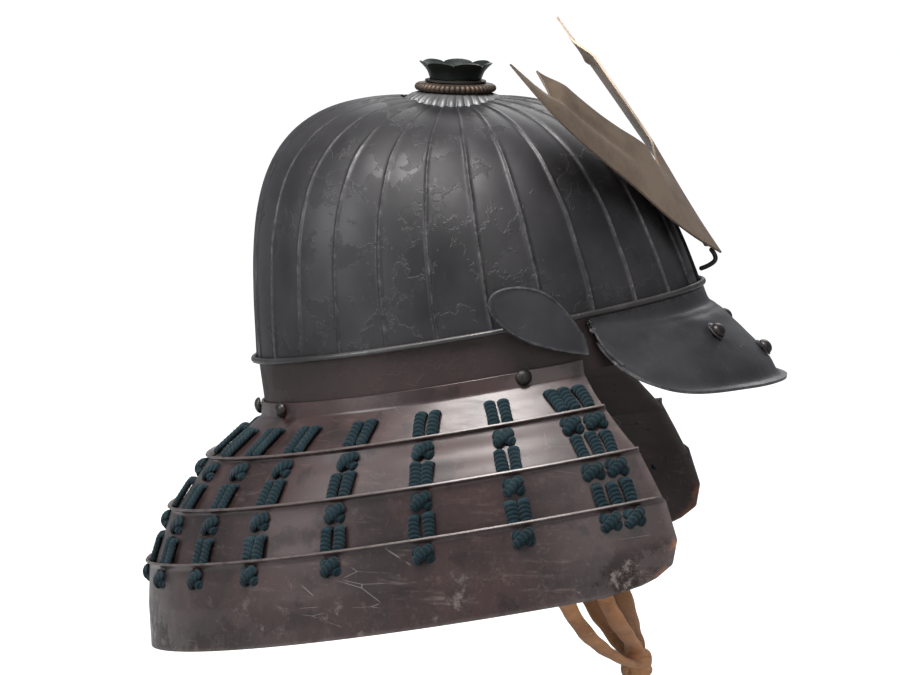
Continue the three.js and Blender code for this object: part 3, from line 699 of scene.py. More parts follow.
@dataclass
class Bowl:
    """The ribbed bowl, its rim line and the band below it, all on one oval foot."""

    half_length: float = 122.6
    half_width: float = 104.0
    foot: float = 24.0
    crown_forward: float = 8.2
    crown_height: float = 145.3
    plates: int = 26
    rib_height: float = 1.7
    wall: float = 1.6
    hole: float = 0.09
    across_plate: int = 20
    stations: int = 74

    def surface(self, degrees: Array, t: Array, raised: Array | float = 0.0) -> Array:
        """A cubic from the foot, upright, to the crown, level; it swells more behind than in front."""
        angle = np.radians(degrees)
        front, side = np.cos(angle), np.sin(angle)
        lean = 5 + 0.9 * front + 5.1 * front**2
        rise = 72 - 4.2 * front - 2 * front**2
        reach = 84 - 17.5 * front + 16.5 * front**2
        slope = 0.13 * front**2 - 0.174 * front
        zero = np.zeros_like(angle)
        foot = np.stack([self.half_width * side, self.half_length * front, zero + self.foot], -1)
        lower = foot + np.stack([-lean * side, -lean * front, rise], -1)
        crown = np.stack([zero, zero + self.crown_forward, zero + self.crown_height], -1)
        upper = crown + np.stack([reach * side, reach * front, reach * slope], -1)
        s = np.asarray(t)[..., None]
        p = (1 - s) ** 3 * foot + 3 * (1 - s) ** 2 * s * lower + 3 * (1 - s) * s * s * upper + s**3 * crown
        out = np.stack([side * np.cos(t * 1.4), front * np.cos(t * 1.4), np.sin(t * 1.4) + zero], -1)
        p = p + out * np.asarray(raised)[..., None]
        return at(p[..., 0], p[..., 1], p[..., 2])

    def rib_angles(self) -> Array:
        """Where the ribs stand round the bowl."""
        return 360.0 * np.arange(self.plates + 1) / self.plates

    def shell(self) -> Part:
        """The wall: plates hollowed between ribs, each with a standing rib and a lapped step beside it."""
        ribs = self.rib_angles()
        share = (1 - np.cos(np.linspace(0, math.pi, self.across_plate, endpoint=False))) / 2
        angles = (ribs[:-1, None] + (ribs[1:] - ribs[:-1])[:, None] * share).ravel()
        place = np.tile(share, self.plates)
        nearest = np.minimum(place, 1 - place)
        t = np.linspace(0, 1 - self.hole, self.stations)
        taper = 1 - 0.5 * t
        width = 0.038 + 0.05 * t
        crest = np.exp(-((nearest[:, None] / width) ** 2) * 2.2)
        plate_swell = 0.5 * np.sin(math.pi * place)[:, None] * np.sin(math.pi * t) ** 0.5
        step = 0.6 * (1 - place[:, None]) * smooth(0.0, 0.08, place[:, None])
        angle_grid, t_grid = np.broadcast_arrays(angles[:, None], t[None, :])
        beaten = 0.22 * ripple(angle_grid / 360.0, t_grid, 1, 14, 9)
        lift = self.rib_height * crest * taper + plate_swell + step + beaten
        bent = angle_grid + 0.35 * ripple(np.round(angle_grid / 13.8) / 26.0, t_grid, 2, 8, 4)
        grid = self.surface(bent, t_grid, lift)
        # The rib value marks the rib crests, fading towards the crown, for rubbed wear and a painted
        # highlight in the bowl's finish.
        values = {"rib": np.clip(crest * 1.15, 0, 1) * (0.35 + 0.65 * np.clip(1.2 - t_grid, 0, 1))}
        return wall(grid, self.wall, True, at(0, 0, 60), values)

    def foot_ring(self, section: Array, segments: int = 240) -> Part:
        """A closed band: a section of distances out from the foot's oval, and heights, carried round it."""
        angle = np.linspace(0, 2 * math.pi, segments, endpoint=False)[:, None]
        out, up = section[None, :, 0], section[None, :, 1]
        wave = 0.15 * ripple(angle / (2 * math.pi), np.zeros_like(angle), 5, 6, 8)
        x = (self.half_width + out) * np.sin(angle)
        f = (self.half_length + out) * np.cos(angle)
        points = at(x, f, up + wave)
        return Part(points.reshape(-1, 3), grid_faces(segments, section.shape[0], True, True)).outward()

    def build(self, finishes: Finishes) -> None:
        """Makes the bowl, its rim line and the band."""
        make("ribbed_bowl", self.shell(), finishes.bowl, ["bowl"])
        turn = np.linspace(0, 2 * math.pi, 14, endpoint=False)
        rim = np.stack([2.9 + 1.5 * np.cos(turn), self.foot - 0.1 + 1.7 * np.sin(turn)], axis=-1)
        make("rim_line", self.foot_ring(rim), finishes.rim, ["bowl_rim"])
        up = np.linspace(self.foot - 0.4, -6, 10)
        face = np.stack([mix(0.2, 1.2, (self.foot - up) / 30), up], axis=-1)
        back = face[::-1] - np.array([1.6, 0])
        band = self.foot_ring(np.concatenate([face, back]))
        make("foot_band", band, finishes.band, ["band"])


# ---------- neck guard ----------


@dataclass(frozen=True)
class Ring:
    """An oval round the head: half length, half width and height, in millimetres."""

    a: float
    w: float
    h: float

    def inset(self, by: float, drop: float = 0.0) -> "Ring":
        """A smaller oval, a little lower."""
        return Ring(self.a - by, self.w - by, self.h - drop)

    def toward(self, other: "Ring", t: float) -> "Ring":
        """The oval a share of the way to another."""
        return Ring(mix(self.a, other.a, t), mix(self.w, other.w, t), mix(self.h, other.h, t))


class Lame:
    """One plate of the neck guard: ovals from its top edge down, each with the angle where it ends."""

    def __init__(self, rings: Sequence[Ring], ends: Sequence[float]) -> None:
        """Keeps the ovals and their ends."""
        self.rings = list(rings)
        self.ends = list(ends)

    def point(self, degrees: Array, share: Array, out: Array | float = 0.0) -> Array:
        """A place on the outer face, at a share of the way from the bend to the lower edge."""
        top, low = self.rings[1], self.rings[-1]
        a, w, h = (mix(getattr(top, k), getattr(low, k), share) for k in "awh")
        run, fall = ((low.a + low.w) - (top.a + top.w)) / 2, top.h - low.h
        angle = np.radians(degrees)
        length = math.hypot(run, fall)
        x_out, f_out = np.sin(angle) * fall / length, np.cos(angle) * fall / length
        return at(w * np.sin(angle) + out * x_out, a * np.cos(angle) + out * f_out, h + out * run / length)

    def grid(self, around: int, down: int, seed: int) -> tuple[Array, Array, Array]:
        """Outer face as a grid, with the share down it and the angle at each point."""
        knots = np.array([[r.a, r.w, r.h, e] for r, e in zip(self.rings, self.ends)])
        steps = np.linalg.norm(np.diff(knots[:, :3], axis=0), axis=1)
        far = np.concatenate([[0], np.cumsum(steps)]) / steps.sum()
        share = np.linspace(0, 1, down)
        a, w, h, end = (np.interp(share, far, knots[:, k])[None, :] for k in range(4))
        t = (1 - np.cos(np.linspace(0, math.pi, around))) / 2
        t = mix(np.linspace(0, 1, around), t, 0.35)[:, None]
        degrees = end + (360 - 2 * end) * t
        angle = np.radians(degrees)
        beaten = 0.25 * ripple(t, share[None, :], seed, 9, 2)
        points = at((w + beaten) * np.sin(angle), (a + beaten) * np.cos(angle), h + 0.0 * angle)
        return points, np.broadcast_to(share[None, :], angle.shape), degrees


@dataclass
class NeckGuard:
    """Four flared lames, each hung inside the rim of the next, and the rivets that hold the first."""

    wall: float = 1.5
    tuck: tuple[float, float, float] = (9.0, 7.2, 6.4)
    past_rim: float = 1.22
    rivet_angles: tuple[tuple[str, float], ...] = (
        ("back", 180), ("left_back", 150.5), ("left_front", 77.5),
        ("right_back", 209.5), ("right_front", 282.5),
    )

    def __post_init__(self) -> None:
        """Works out the lames from their rims."""
        rims = [Ring(160.7, 127, -23.6), Ring(186.4, 144, -48), Ring(203.6, 152, -75.4)]
        hem = Ring(209.1, 157, -122.6)
        self.neck_top, bend = Ring(125.4, 106.8, 0.6), Ring(126.8, 108.2, -7.6)
        self.neck_bend = bend
        goal = rims[0].inset(self.tuck[0])
        first = [self.neck_top, bend, bend.toward(goal, 0.6), bend.toward(goal, self.past_rim)]
        self.lames = [Lame(first, (61.5, 62, 63.4, 64.2))]
        ends = ((64.7, 64.4, 63.6, 62.6), (63.3, 63.1, 62.6, 62.2))
        for n in range(2):
            top, goal = rims[n].inset(1.6, 2.4), rims[n + 1].inset(self.tuck[n + 1])
            rings = [rims[n], top, top.toward(goal, 0.6), top.toward(goal, self.past_rim)]
            self.lames.append(Lame(rings, ends[n]))
        last = rims[2]
        rings = [last, last.inset(1.5, 2.6)] + [last.toward(hem, t) for t in (0.52, 0.78, 0.9, 0.96)] + [hem]
        self.lames.append(Lame(rings, (63.9, 62.4, 62.2, 63.8, 66.9, 69.9, 75.4)))

    def plate(self, n: int) -> Part:
        """A lame's wall with its lipped top edge, and how near each place is to an edge."""
        grid, share, degrees = self.lames[n].grid(220, 40, 20 + n)
        if n > 0:
            lip = np.exp(-((share / 0.035) ** 2))
            outward = grid_normals(grid, False, at(0, 0, 40))
            grid = grid + outward * (0.7 * lip)[..., None] * MM
        half = np.abs(degrees - 180)
        span = half.max(axis=0, keepdims=True)
        side_edge = np.exp(-(((span - half) / 1.0) ** 2))
        bottom = np.exp(-(((1 - share) / 0.025) ** 2))
        top = np.exp(-((share / 0.03) ** 2)) * (n > 0)
        # The edge value carries the painted highlight along the rims and edges, and also bounds the copper on
        # the last lame's corners.
        edge = np.clip(side_edge + bottom * (n == 3) + top, 0, 1)
        corner = smooth(span - 9, span, half) * smooth(0.45, 0.6, share) * (1 - smooth(0.75, 0.95, share))
        low = smooth(0.25, 0.75, share) * mix(0.55, 1.0, smooth(60, 110, half))
        values = {"edge": edge, "low": low + 0 * degrees, "copper": corner * (n == 3) * edge}
        return wall(grid, self.wall, False, at(0, 0, 40), values)

    def rivet(self, name: str, degrees: float, finishes: Finishes) -> None:
        """A domed rivet whose shank passes through the lame and the band."""
        neck = self.neck_top.toward(self.neck_bend, 0.4)
        angle = math.radians(degrees)
        dome = [(4.5 * math.cos(a), 3.1 * math.sin(a)) for a in np.linspace(0, math.pi / 2 - 0.02, 12)]
        profile = [(0.02, -7), (1.5, -7), (1.5, 0), (4.4, -0.3)] + dome
        normal = at(math.sin(angle) / neck.w, math.cos(angle) / neck.a, 0) / MM
        place = at(neck.w * math.sin(angle), neck.a * math.cos(angle), neck.h) + unit(normal) * 1.1 * MM
        part = seat(turned(profile, 40, lambda a, r, z: (r * (1 + 0.025 * np.sin(3 * a)), z)), place, normal)
        make(f"domed_rivet_{name}", part, finishes.rivet, [f"rivet_{name}"])

    def build(self, finishes: Finishes) -> None:
        """Makes the lames and rivets."""
        for n, finish in enumerate(finishes.lames):
            name, stands_for = f"neck_lame_{n + 1}", [f"lame_{n + 1}"]
            make(name, self.plate(n), finish, stands_for, Rounding.SOFT)
        for name, degrees in self.rivet_angles:
            self.rivet(name, degrees, finishes)


@dataclass
class Lacing:
    """Columns of braided cord: pairs that hang each lame from the one above, each with a crossed knot."""

    guard: NeckGuard
    cord_wide: float = 3.35
    cord_thick: float = 1.75
    spread: float = 3.7
    start: tuple[float, float, float] = (0.28, 0.42, 0.43)
    behind: float = 0.93
    knot_at: tuple[float, float, float] = (0.2, 0.2, 0.13)
    side_angles: tuple[float, ...] = (161, 146.5, 132.5, 116.5, 101, 85.5, 70)

    def braid(self, angle: Array, far: Array) -> Array:
        """Plait relief: bumps that repeat along the cord and lean towards its middle."""
        return 0.1 * np.sin(2 * math.pi * far / 2.4 + 5.0 * np.abs(np.sin(angle)))

    def over(self, n: int, degrees: Array, share: Array, out: Array) -> Array:
        """Points above the face of lame n."""
        return self.guard.lames[n].point(degrees, share, out)

    def shift(self, n: int, degrees: float, share: float, sideways: float) -> float:
        """The angle that lies so many millimetres sideways."""
        step = self.over(n, degrees + 0.5, share, 0.0) - self.over(n, degrees - 0.5, share, 0.0)
        return degrees + sideways * MM / float(np.linalg.norm(step))

    def hanging(self, n: int, degrees: float, sideways: float, rng: np.random.Generator) -> Part:
        """One cord of a pair: out of its hole in lame n, down the face and in behind the next rim."""
        top = self.start[n] + rng.uniform(-0.02, 0.02)
        share = np.linspace(top, self.behind, 44)
        t = np.linspace(0, 1, 44)
        angle = self.shift(n, degrees, top, sideways * rng.uniform(0.96, 1.08))
        angle_low = self.shift(n, degrees, self.behind, sideways * rng.uniform(0.92, 1.04))
        out = self.cord_thick + 0.35 - 3.4 * (1 - smooth(0.0, 0.11, t)) - 0.5 * smooth(0.82, 1, t)
        wander = rng.uniform(-0.25, 0.25) * np.sin(math.pi * t)
        path = self.over(n, mix(angle, angle_low, t) + wander, share, out)
        across = self.over(n, angle + 0.5, 0.5, 0.0) - self.over(n, angle - 0.5, 0.5, 0.0)
        wide = self.cord_wide * (1 + 0.07 * np.sin(3.1 * t + rng.uniform(0, 6)))
        return tube(path, wide, self.cord_thick, across, 18, self.braid)

    def crossing(self, n: int, degrees: float, size: float, lean: float, lift: float) -> Part:
        """One turn of a knot: a short cord bowed over the face, its ends going into the lame."""
        t = np.linspace(-1, 1, 36)
        lame = self.guard.lames[n]
        top, low = lame.rings[1], lame.rings[-1]
        height = math.hypot((low.a + low.w - top.a - top.w) / 2, top.h - low.h)
        share = self.knot_at[n - 1] + (t * size * math.sin(lean)) / height
        middle = self.shift(n, degrees, 0.2, 0.0)
        per_mm = self.shift(n, degrees, 0.2, 1.0) - middle
        angle = middle + t * size * math.cos(lean) * per_mm
        out = lift + self.cord_thick - 2.9 * np.abs(t) ** 2.6
        path = self.over(n, angle, share, out)
        square = self.over(n, degrees, 0.2 + 0.1, 0.0) - self.over(n, degrees, 0.2, 0.0)
        side = self.over(n, degrees + 0.5, 0.2, 0.0) - self.over(n, degrees - 0.5, 0.2, 0.0)
        across = unit(square) * math.cos(lean) - unit(side) * math.sin(lean)
        return tube(path, 2.9, 1.6, across, 16, self.braid)

    def column(self, degrees: float, cords: int, rng: np.random.Generator) -> Part:
        """Every cord and knot of one column."""
        parts = []
        slots = (np.arange(cords) - (cords - 1) / 2) * 2 * self.spread
        for n in range(3):
            parts += [self.hanging(n, degrees, s, rng) for s in slots]
            centres = (0.0,) if cords == 2 else (-6.6, 6.6)
            for sideways in centres:
                angle = self.shift(n + 1, degrees, 0.2, sideways)
                lean = math.radians(rng.uniform(30, 42))
                parts.append(self.crossing(n + 1, angle, 6.3, lean, 0.0))
                parts.append(self.crossing(n + 1, angle, 6.3, math.pi - lean, 1.1))
        return Part.join(parts)

    def build(self, finishes: Finishes) -> None:
        """Makes the fifteen columns."""
        rng = np.random.default_rng(SEED)
        columns = [("back", 180.0, 2)]
        for k, angle in enumerate(self.side_angles):
            cords = 3 if k == len(self.side_angles) - 1 else 2
            columns += [(f"left_{k + 1}", angle, cords), (f"right_{k + 1}", 360 - angle, cords)]
        for name, angle, cords in columns:
            part = self.column(angle, cords, rng)
            make(f"lacing_{name}", part, finishes.lace, [f"lace_{name}"])


# ---------- visor and turn-backs ----------


@dataclass
class Visor:
    """The brim: a short upright flange, a sloping brim and a turned edge, with three studs."""

    bowl: Bowl
    end: float = 58.0
    out: float = 36.5
    drop: float = 57.0
    side_out: float = 24.0
    side_drop: float = 45.0
    round_from: float = 35.0
    wall: float = 1.6

    def point(self, degrees: Array, out_share: Array, drop_share: Array) -> Array:
        """A place on the brim: the foot's oval, moved out and down by shares that shrink at the ends."""
        angle = np.radians(degrees)
        a, w = self.bowl.half_length + 2.5, self.bowl.half_width + 2.5
        nx, nf = np.sin(angle) / w, np.cos(angle) / a
        size = np.hypot(nx, nf)
        turn = np.sin(angle) ** 2 / math.sin(math.radians(self.end)) ** 2
        past = np.maximum(0, (np.abs(degrees) - self.round_from) / (self.end - self.round_from))
        width = np.sqrt(np.maximum(0, 1 - past**2.4)) * 0.86 + 0.14
        out = mix(self.out, self.side_out, turn) * out_share * width
        drop = mix(self.drop, self.side_drop, turn) * drop_share * width
        x, f = w * np.sin(angle) + nx / size * out, a * np.cos(angle) + nf / size * out
        return at(x, f, self.bowl.foot - 2.4 - drop)

    def shell(self) -> Part:
        """The wall, with a soft crease under the flange and a bead along the turned edge."""
        section = [(0, 0), (0.06, 0.15), (0.23, 0.26), (0.39, 0.4), (0.63, 0.61), (0.8, 0.79), (0.88, 0.93)]
        knots = spline(section + [(1, 1)], 44)
        share = np.linspace(-1, 1, 181)
        degrees = (self.end * np.sin(share * math.pi / 2))[:, None]
        out, drop = knots[None, :, 0], knots[None, :, 1]
        grid = self.point(degrees, out, drop)
        v = np.linspace(0, 1, 44)[None, :]
        normal = grid_normals(grid, False, at(0, 40, -60))
        bead = 1.1 * np.exp(-(((1 - v) / 0.03) ** 2)) + 0.5 * np.exp(-(((v - 0.16) / 0.03) ** 2))
        beaten = 0.3 * ripple(share[:, None], v, 31, 8, 5)
        grid = grid + normal * (bead + beaten)[..., None] * MM
        ends = np.exp(-(((1 - np.abs(share[:, None])) / 0.02) ** 2))
        edge = np.clip(np.exp(-(((1 - v) / 0.035) ** 2)) + ends + np.exp(-((v / 0.03) ** 2)), 0, 1)
        return wall(grid, self.wall, False, at(0, 40, -60), {"edge": edge})

    def stud(self, name: str, degrees: float, share: float, finishes: Finishes) -> None:
        """A domed stud on a leaf-shaped washer."""
        here = self.point(np.array(degrees), share * 1.02, share)
        across = self.point(np.array(degrees + 1), share * 1.02, share) - here
        down = self.point(np.array(degrees), share * 1.02 + 0.03, share + 0.03) - here
        normal = unit(np.cross(across, down))
        normal = -normal if normal[1] > 0 else normal
        leaf = [(2, 0), (5.1, 0), (5.2, 0.4), (4.8, 0.9), (2, 0.9)]

        def pointed(angle: Array, r: Array, z: Array) -> tuple[Array, Array]:
            """Stretches the rim into a leaf whose tip points up the brim."""
            tip = np.maximum(0, np.cos(angle - 2.2)) ** 6
            return r * (1 + 0.28 * tip * (r > 4)), z

        washer = seat(turned(leaf, 56, pointed), here + normal * 0.9 * MM, normal)
        make(f"stud_leaf_{name}", washer, finishes.visor, [f"visor_washer_{name}"])
        dome = [(4.4 * math.cos(a), 3.4 * math.sin(a)) for a in np.linspace(0, math.pi / 2 - 0.02, 12)]
        profile = [(0.02, -5), (1.4, -5), (1.4, 0), (4.3, -0.3)] + dome
        stud = seat(turned(profile, 40), here + normal * 2.1 * MM, normal)
        make(f"brim_stud_{name}", stud, finishes.rivet, [f"visor_stud_{name}"])

    def build(self, finishes: Finishes) -> None:
        """Makes the brim and its studs."""
        make("brim", self.shell(), finishes.visor, ["visor"], Rounding.SOFT)
        for name, degrees, share in (("centre", 0, 0.7), ("left", 21, 0.42), ("right", -21, 0.42)):
            self.stud(name, degrees, share, finishes)


def bezier(points: Sequence[Sequence[float]], count: int) -> Array:
    """Points along one cubic curve."""
    a, b, c, d = (np.asarray(p, float) for p in points)
    t = np.linspace(0, 1, count, endpoint=False)[:, None]
    return (1 - t) ** 3 * a + 3 * (1 - t) ** 2 * t * b + 3 * (1 - t) * t * t * c + t**3 * d


@dataclass
class TurnBack:
    """A small leaf on each side, dished, with a raised rim."""

    thick: float = 1.5

    def outline(self) -> Array:
        """Forward and up along the leaf's edge."""
        curves = [
            ((64, 3), (54, 6), (38, 12), (28, 21)),
            ((28, 21), (19, 29), (15, 38), (18, 43)),
            ((18, 43), (22, 49), (36, 47), (44, 42)),
            ((44, 42), (52, 37), (58, 26), (64, 11)),
            ((64, 11), (64, 8.3), (64, 5.7), (64, 3)),
        ]
        return np.concatenate([bezier(c, 44) for c in curves])

    def part(self, side: int) -> Part:
        """A disc of rings from its middle out to the edge, bent outward towards its tip."""
        edge = self.outline()
        core = np.array([38.0, 29.0])
        v = np.linspace(0.004, 1, 30)[None, :, None]
        flat = core + (edge[:, None] - core) * v
        f, h = flat[..., 0], flat[..., 1]
        back = (64 - f) / 46
        rim = np.exp(-(((1 - v[..., 0]) / 0.05) ** 2))
        x = 98.6 + 22 * back - 5 * back**2 + 0.06 * h + 0.9 * rim - 1.0 * (1 - v[..., 0] ** 2)
        grid = at(side * x, f, h)
        return wall(grid, self.thick, True, at(0, 45, 25), {"edge": rim + 0 * f})

    def build(self, finishes: Finishes) -> None:
        """Makes both leaves."""
        for name, side in (("left", 1), ("right", -1)):
            part = self.part(side)
            make(f"leaf_{name}", part, finishes.visor, [f"turn_back_{name}"], Rounding.SOFT)


# ---------- crown fittings ----------


@dataclass
class CrownFittings:
    """A drooping silvered ring of petals, a finer bronze ring, a dark plate and a lobed cup."""

    forward: float = 7.9
    height: float = 142.7
    lean: float = math.radians(1.5)
    petals: int = 34
    teeth: int = 46
    lobes: int = 7

    def place(self, part: Part) -> Part:
        """Stands a part on the crown."""
        up = np.array([0, -math.sin(self.lean), math.cos(self.lean)])
        return seat(part, at(0, self.forward, self.height), up)

    def petal(self, angle: Array, r: Array, z: Array) -> tuple[Array, Array]:
        """Rounded petals with a groove between each pair, deeper towards the edge."""
        groove = 1 - np.abs(np.cos(angle * self.petals / 2)) ** 0.6
        outer = smooth(19, 27, r)
        return r - 1.5 * groove * outer, z - 1.1 * groove * outer * (z > -1.5)

    def tooth(self, angle: Array, r: Array, z: Array) -> tuple[Array, Array]:
        """Fine upright teeth round the ring."""
        groove = 1 - np.abs(np.cos(angle * self.teeth / 2)) ** 0.7
        return r - 0.9 * groove * smooth(18, 21, r), z

    def lobe(self, angle: Array, r: Array, z: Array) -> tuple[Array, Array]:
        """A wavy rim: it rises and flares in lobes, with narrow notches between."""
        wave = np.abs(np.cos(angle * self.lobes / 2)) ** 0.55
        up = smooth(18.1, 23.6, z)
        return r + (1.3 * wave - 0.6) * up, z + (1.9 * wave - 1.7) * up

    def build(self, finishes: Finishes) -> None:
        """Makes the four pieces."""
        base = [
            (11, -3), (28.2, -3.4), (29.6, -2.4), (29.7, -0.6), (28.9, 1.6), (27, 3.9), (24, 5.8),
            (20.5, 6.8), (16, 6.95), (11, 6.95),
        ]
        petals = self.place(turned(base, 510, self.petal))
        make("petal_ring", petals, finishes.silver, ["crown_base"])
        ring = [
            (11, 7.3), (20.4, 7.3), (21.6, 7.8), (22.4, 8.8), (22.5, 9.8), (21.9, 11.0), (20.6, 11.8),
            (18, 12.0), (11, 12.0),
        ]
        teeth = self.place(turned(ring, 552, self.tooth))
        make("toothed_ring", teeth, finishes.bronze, ["crown_ring"])
        plate = [(10, 12.4), (16.3, 12.4), (16.8, 12.7), (16.8, 13.5), (16.3, 13.8), (10, 13.8)]
        make("cup_plate", self.place(turned(plate, 96)), finishes.plate, ["crown_plate"])
        outside = spline([(14.2, 14.2), (14.6, 15.5), (15.6, 18.0), (17.3, 20.6), (19.7, 23.3)], 16)
        inside = spline([(18.9, 23.7), (16.4, 21.1), (14.5, 18.4), (13.3, 16.3), (9, 15.8)], 16)
        cup = np.concatenate([[(9, 14.2)], outside, inside])
        make("lobed_cup", self.place(turned(cup, 224, self.lobe)), finishes.cup, ["crown_cup"])


# ---------- crest ----------


@dataclass
class Crest:
    """Two horns with forked ends in one thin plate, leaning and swept back, hung a little askew."""

    forward: float = 138.5
    height: float = 38.0
    lean: float = math.radians(25.5)
    sweep: float = 0.17
    wall: float = 1.2
    turn: float = math.tan(math.radians(4.5))
    roll: float = math.tan(math.radians(3))
    fold: float = 5.0

    def point(self, x: Array, s: Array, out: Array | float = 0.0) -> Array:
        """A place on the plate: across it, along it from its foot, and out from its front face."""
        f = out * math.cos(self.lean) - s * math.sin(self.lean) - self.sweep * np.abs(x)
        h = s * math.cos(self.lean) + out * math.sin(self.lean)
        rolled = x - h * self.roll
        return at(rolled, self.forward + f + rolled * self.turn, self.height + h + x * self.roll)

    def horn(self, side: int) -> Part:
        """A patch between the outer and inner edges, stretched at its end into two points."""
        count, across = 90, 40
        outer = [(0, 0), (20, 15), (36, 32), (50, 53), (63, 70), (76, 86), (88, 106), (94, 124), (99, 147)]
        outer = spline(outer, count)
        inner = spline([(0, 58), (18, 76), (32, 87), (45, 99), (56, 112), (63, 122), (71, 137)], count)
        v = np.linspace(0, 1, across)
        fork = np.array([(99, 147), (88, 131), (76, 119), (74, 128), (71, 137)], float)
        knots = [0, 0.34, 0.62, 0.82, 1]
        end = np.stack([np.interp(v, knots, fork[:, k]) for k in range(2)], axis=-1)
        plain = mix(outer[-1], inner[-1], v[:, None])
        u = np.linspace(0, 1, count)[:, None, None]
        flat = mix(outer[:, None], inner[:, None], v[None, :, None]) + u**6 * (end - plain)[None]
        crease = 0.9 * np.exp(-(((v[None, :] - 0.62) / 0.1) ** 2)) * smooth(0.25, 0.5, u[..., 0])
        folded = self.fold * v[None, :] * smooth(0, 0.2, u[..., 0]) * (1 - smooth(0.82, 1, u[..., 0]))
        grid = self.point(side * flat[..., 0], flat[..., 1], folded - crease)
        return wall(grid, self.wall, False, at(0, 0, 60))

    def build(self, finishes: Finishes) -> None:
        """Makes the plate, its socket and its hook."""
        plate = Part.join([self.horn(1), self.horn(-1)])
        make("horned_crest", plate, finishes.crest, ["crest"])
        t = np.linspace(0, 1, 24)
        path = self.point(0 * t, mix(7, 34, t), mix(-4.6, -3.6, t))
        across = np.array([1.0, 0, 0])
        socket = tube(path, mix(3.0, 4.4, t), 1.35, across, 20)
        make("crest_socket_tongue", socket, finishes.rivet, ["crest_socket"])
        route = spline([(124.5, 30.8), (130, 32), (134, 34.2), (134.2, 37.5), (132.4, 41.4)], 40)
        rod = tube(at(0, route[:, 0], route[:, 1]), 1.3, 1.3, across, 16)
        make("crest_hook", rod, finishes.rivet, ["crest_rod"])


# ---------- chin cord ----------


@dataclass
class ChinCord:
    """Soft hide strands from rings inside the band, tied in a knot under the chin."""

    half_wide: float = 5.4
    half_thick: float = 2.5
    knot: tuple[float, float, float] = (0, 53, -179)
    strands: dict[str, tuple[tuple[float, float, float], ...]] = field(
        default_factory=lambda: {
            "back": (
                (96, 10, -12), (95, 12, -30), (90, 15, -62), (82, 19, -96), (70, 25, -128), (52, 33, -152),
                (30, 43, -168), (13.4, 50.6, -176), (5, 52.5, -178),
            ),
            "front": (
                (90, 38, -12), (89, 39, -30), (84, 40, -62), (74, 42, -96), (60, 45, -126), (42, 49, -147),
                (24, 52, -159), (10, 53.5, -166), (4, 53.5, -173),
            ),
        }
    )

    def crumple(self, angle: Array, far: Array) -> Array:
        """Soft folds that run slantwise round the strand."""
        return 0.35 * np.sin(far / 7.5 + 2 * angle) + 0.22 * np.sin(far / 3.1 - angle + 1.3)

    def strand(
        self, name: str, side_name: str, side: int, finishes: Finishes
    ) -> None:
        """One strand and the ring that it leaves."""
        points = np.array(self.strands[name], float)
        path = spline([at(side * x, f, h) / MM for x, f, h in points], 90) * MM
        across = np.array([0.0, 1.0, 0.25])
        part = tube(path, self.half_wide, self.half_thick, across, 20, self.crumple)
        tag = f"{side_name}_{name}"
        cord = make(f"chin_strand_{tag}", part, finishes.leather, [f"chin_cord_{tag}"])
        x, f, h = points[0]
        turn = np.linspace(0, 2 * math.pi, 14, endpoint=False)
        section = np.stack([4.6 + 1.1 * np.cos(turn), 1.1 * np.sin(turn)], axis=-1)
        ring = seat(turned(section.tolist(), 48), at(side * x, f, h + 6.2), np.array([1.0, 0, 0]))
        make(f"cord_loop_{tag}", ring, finishes.rivet, [f"cord_ring_{tag}"])

    def tied(self) -> Part:
        """The knot: a full core with three flat turns laid round it on different slants."""
        a = np.linspace(-math.pi / 2 + 0.05, math.pi / 2 - 0.05, 30)
        core = [(8.2 * math.cos(t), 8.8 * math.sin(t)) for t in a]
        middle = turned([(0.05, -8.8)] + core + [(0.05, 8.8)], 40)
        middle.values = {key: np.zeros(len(middle.points)) for key in ("along", "around")}
        parts = [middle]
        for tilt, roll, size in ((0.5, 0.0, 8.8), (-0.6, 0.8, 9.4), (1.35, 0.2, 9.0)):
            t = np.linspace(0, 2 * math.pi, 70)
            rise = size * np.sin(t)
            ring = np.stack([size * np.cos(t), 0.82 * rise * math.cos(tilt), rise * math.sin(tilt)], -1)
            c, s = math.cos(roll), math.sin(roll)
            turn = np.array([[c, 0, s], [0, 1, 0], [-s, 0, c]])
            ring = ring @ turn.T
            across = unit(np.array([0.0, -math.sin(tilt), math.cos(tilt)]) @ turn.T)
            parts.append(tube(ring * MM, 3.4, 1.7, across, 16, self.crumple, False))
        knot = Part.join(parts)
        x, f, h = self.knot
        knot.points = knot.points + at(x, f, h)
        return knot

    def build(self, finishes: Finishes) -> None:
        """Makes the knot, the strands and their rings."""
        knot = make("strand_knot", self.tied(), finishes.leather, ["chin_knot"])
        for side_name, side in (("left", 1), ("right", -1)):
            for name in self.strands:
                self.strand(name, side_name, side, finishes)


# ---------- studio ----------


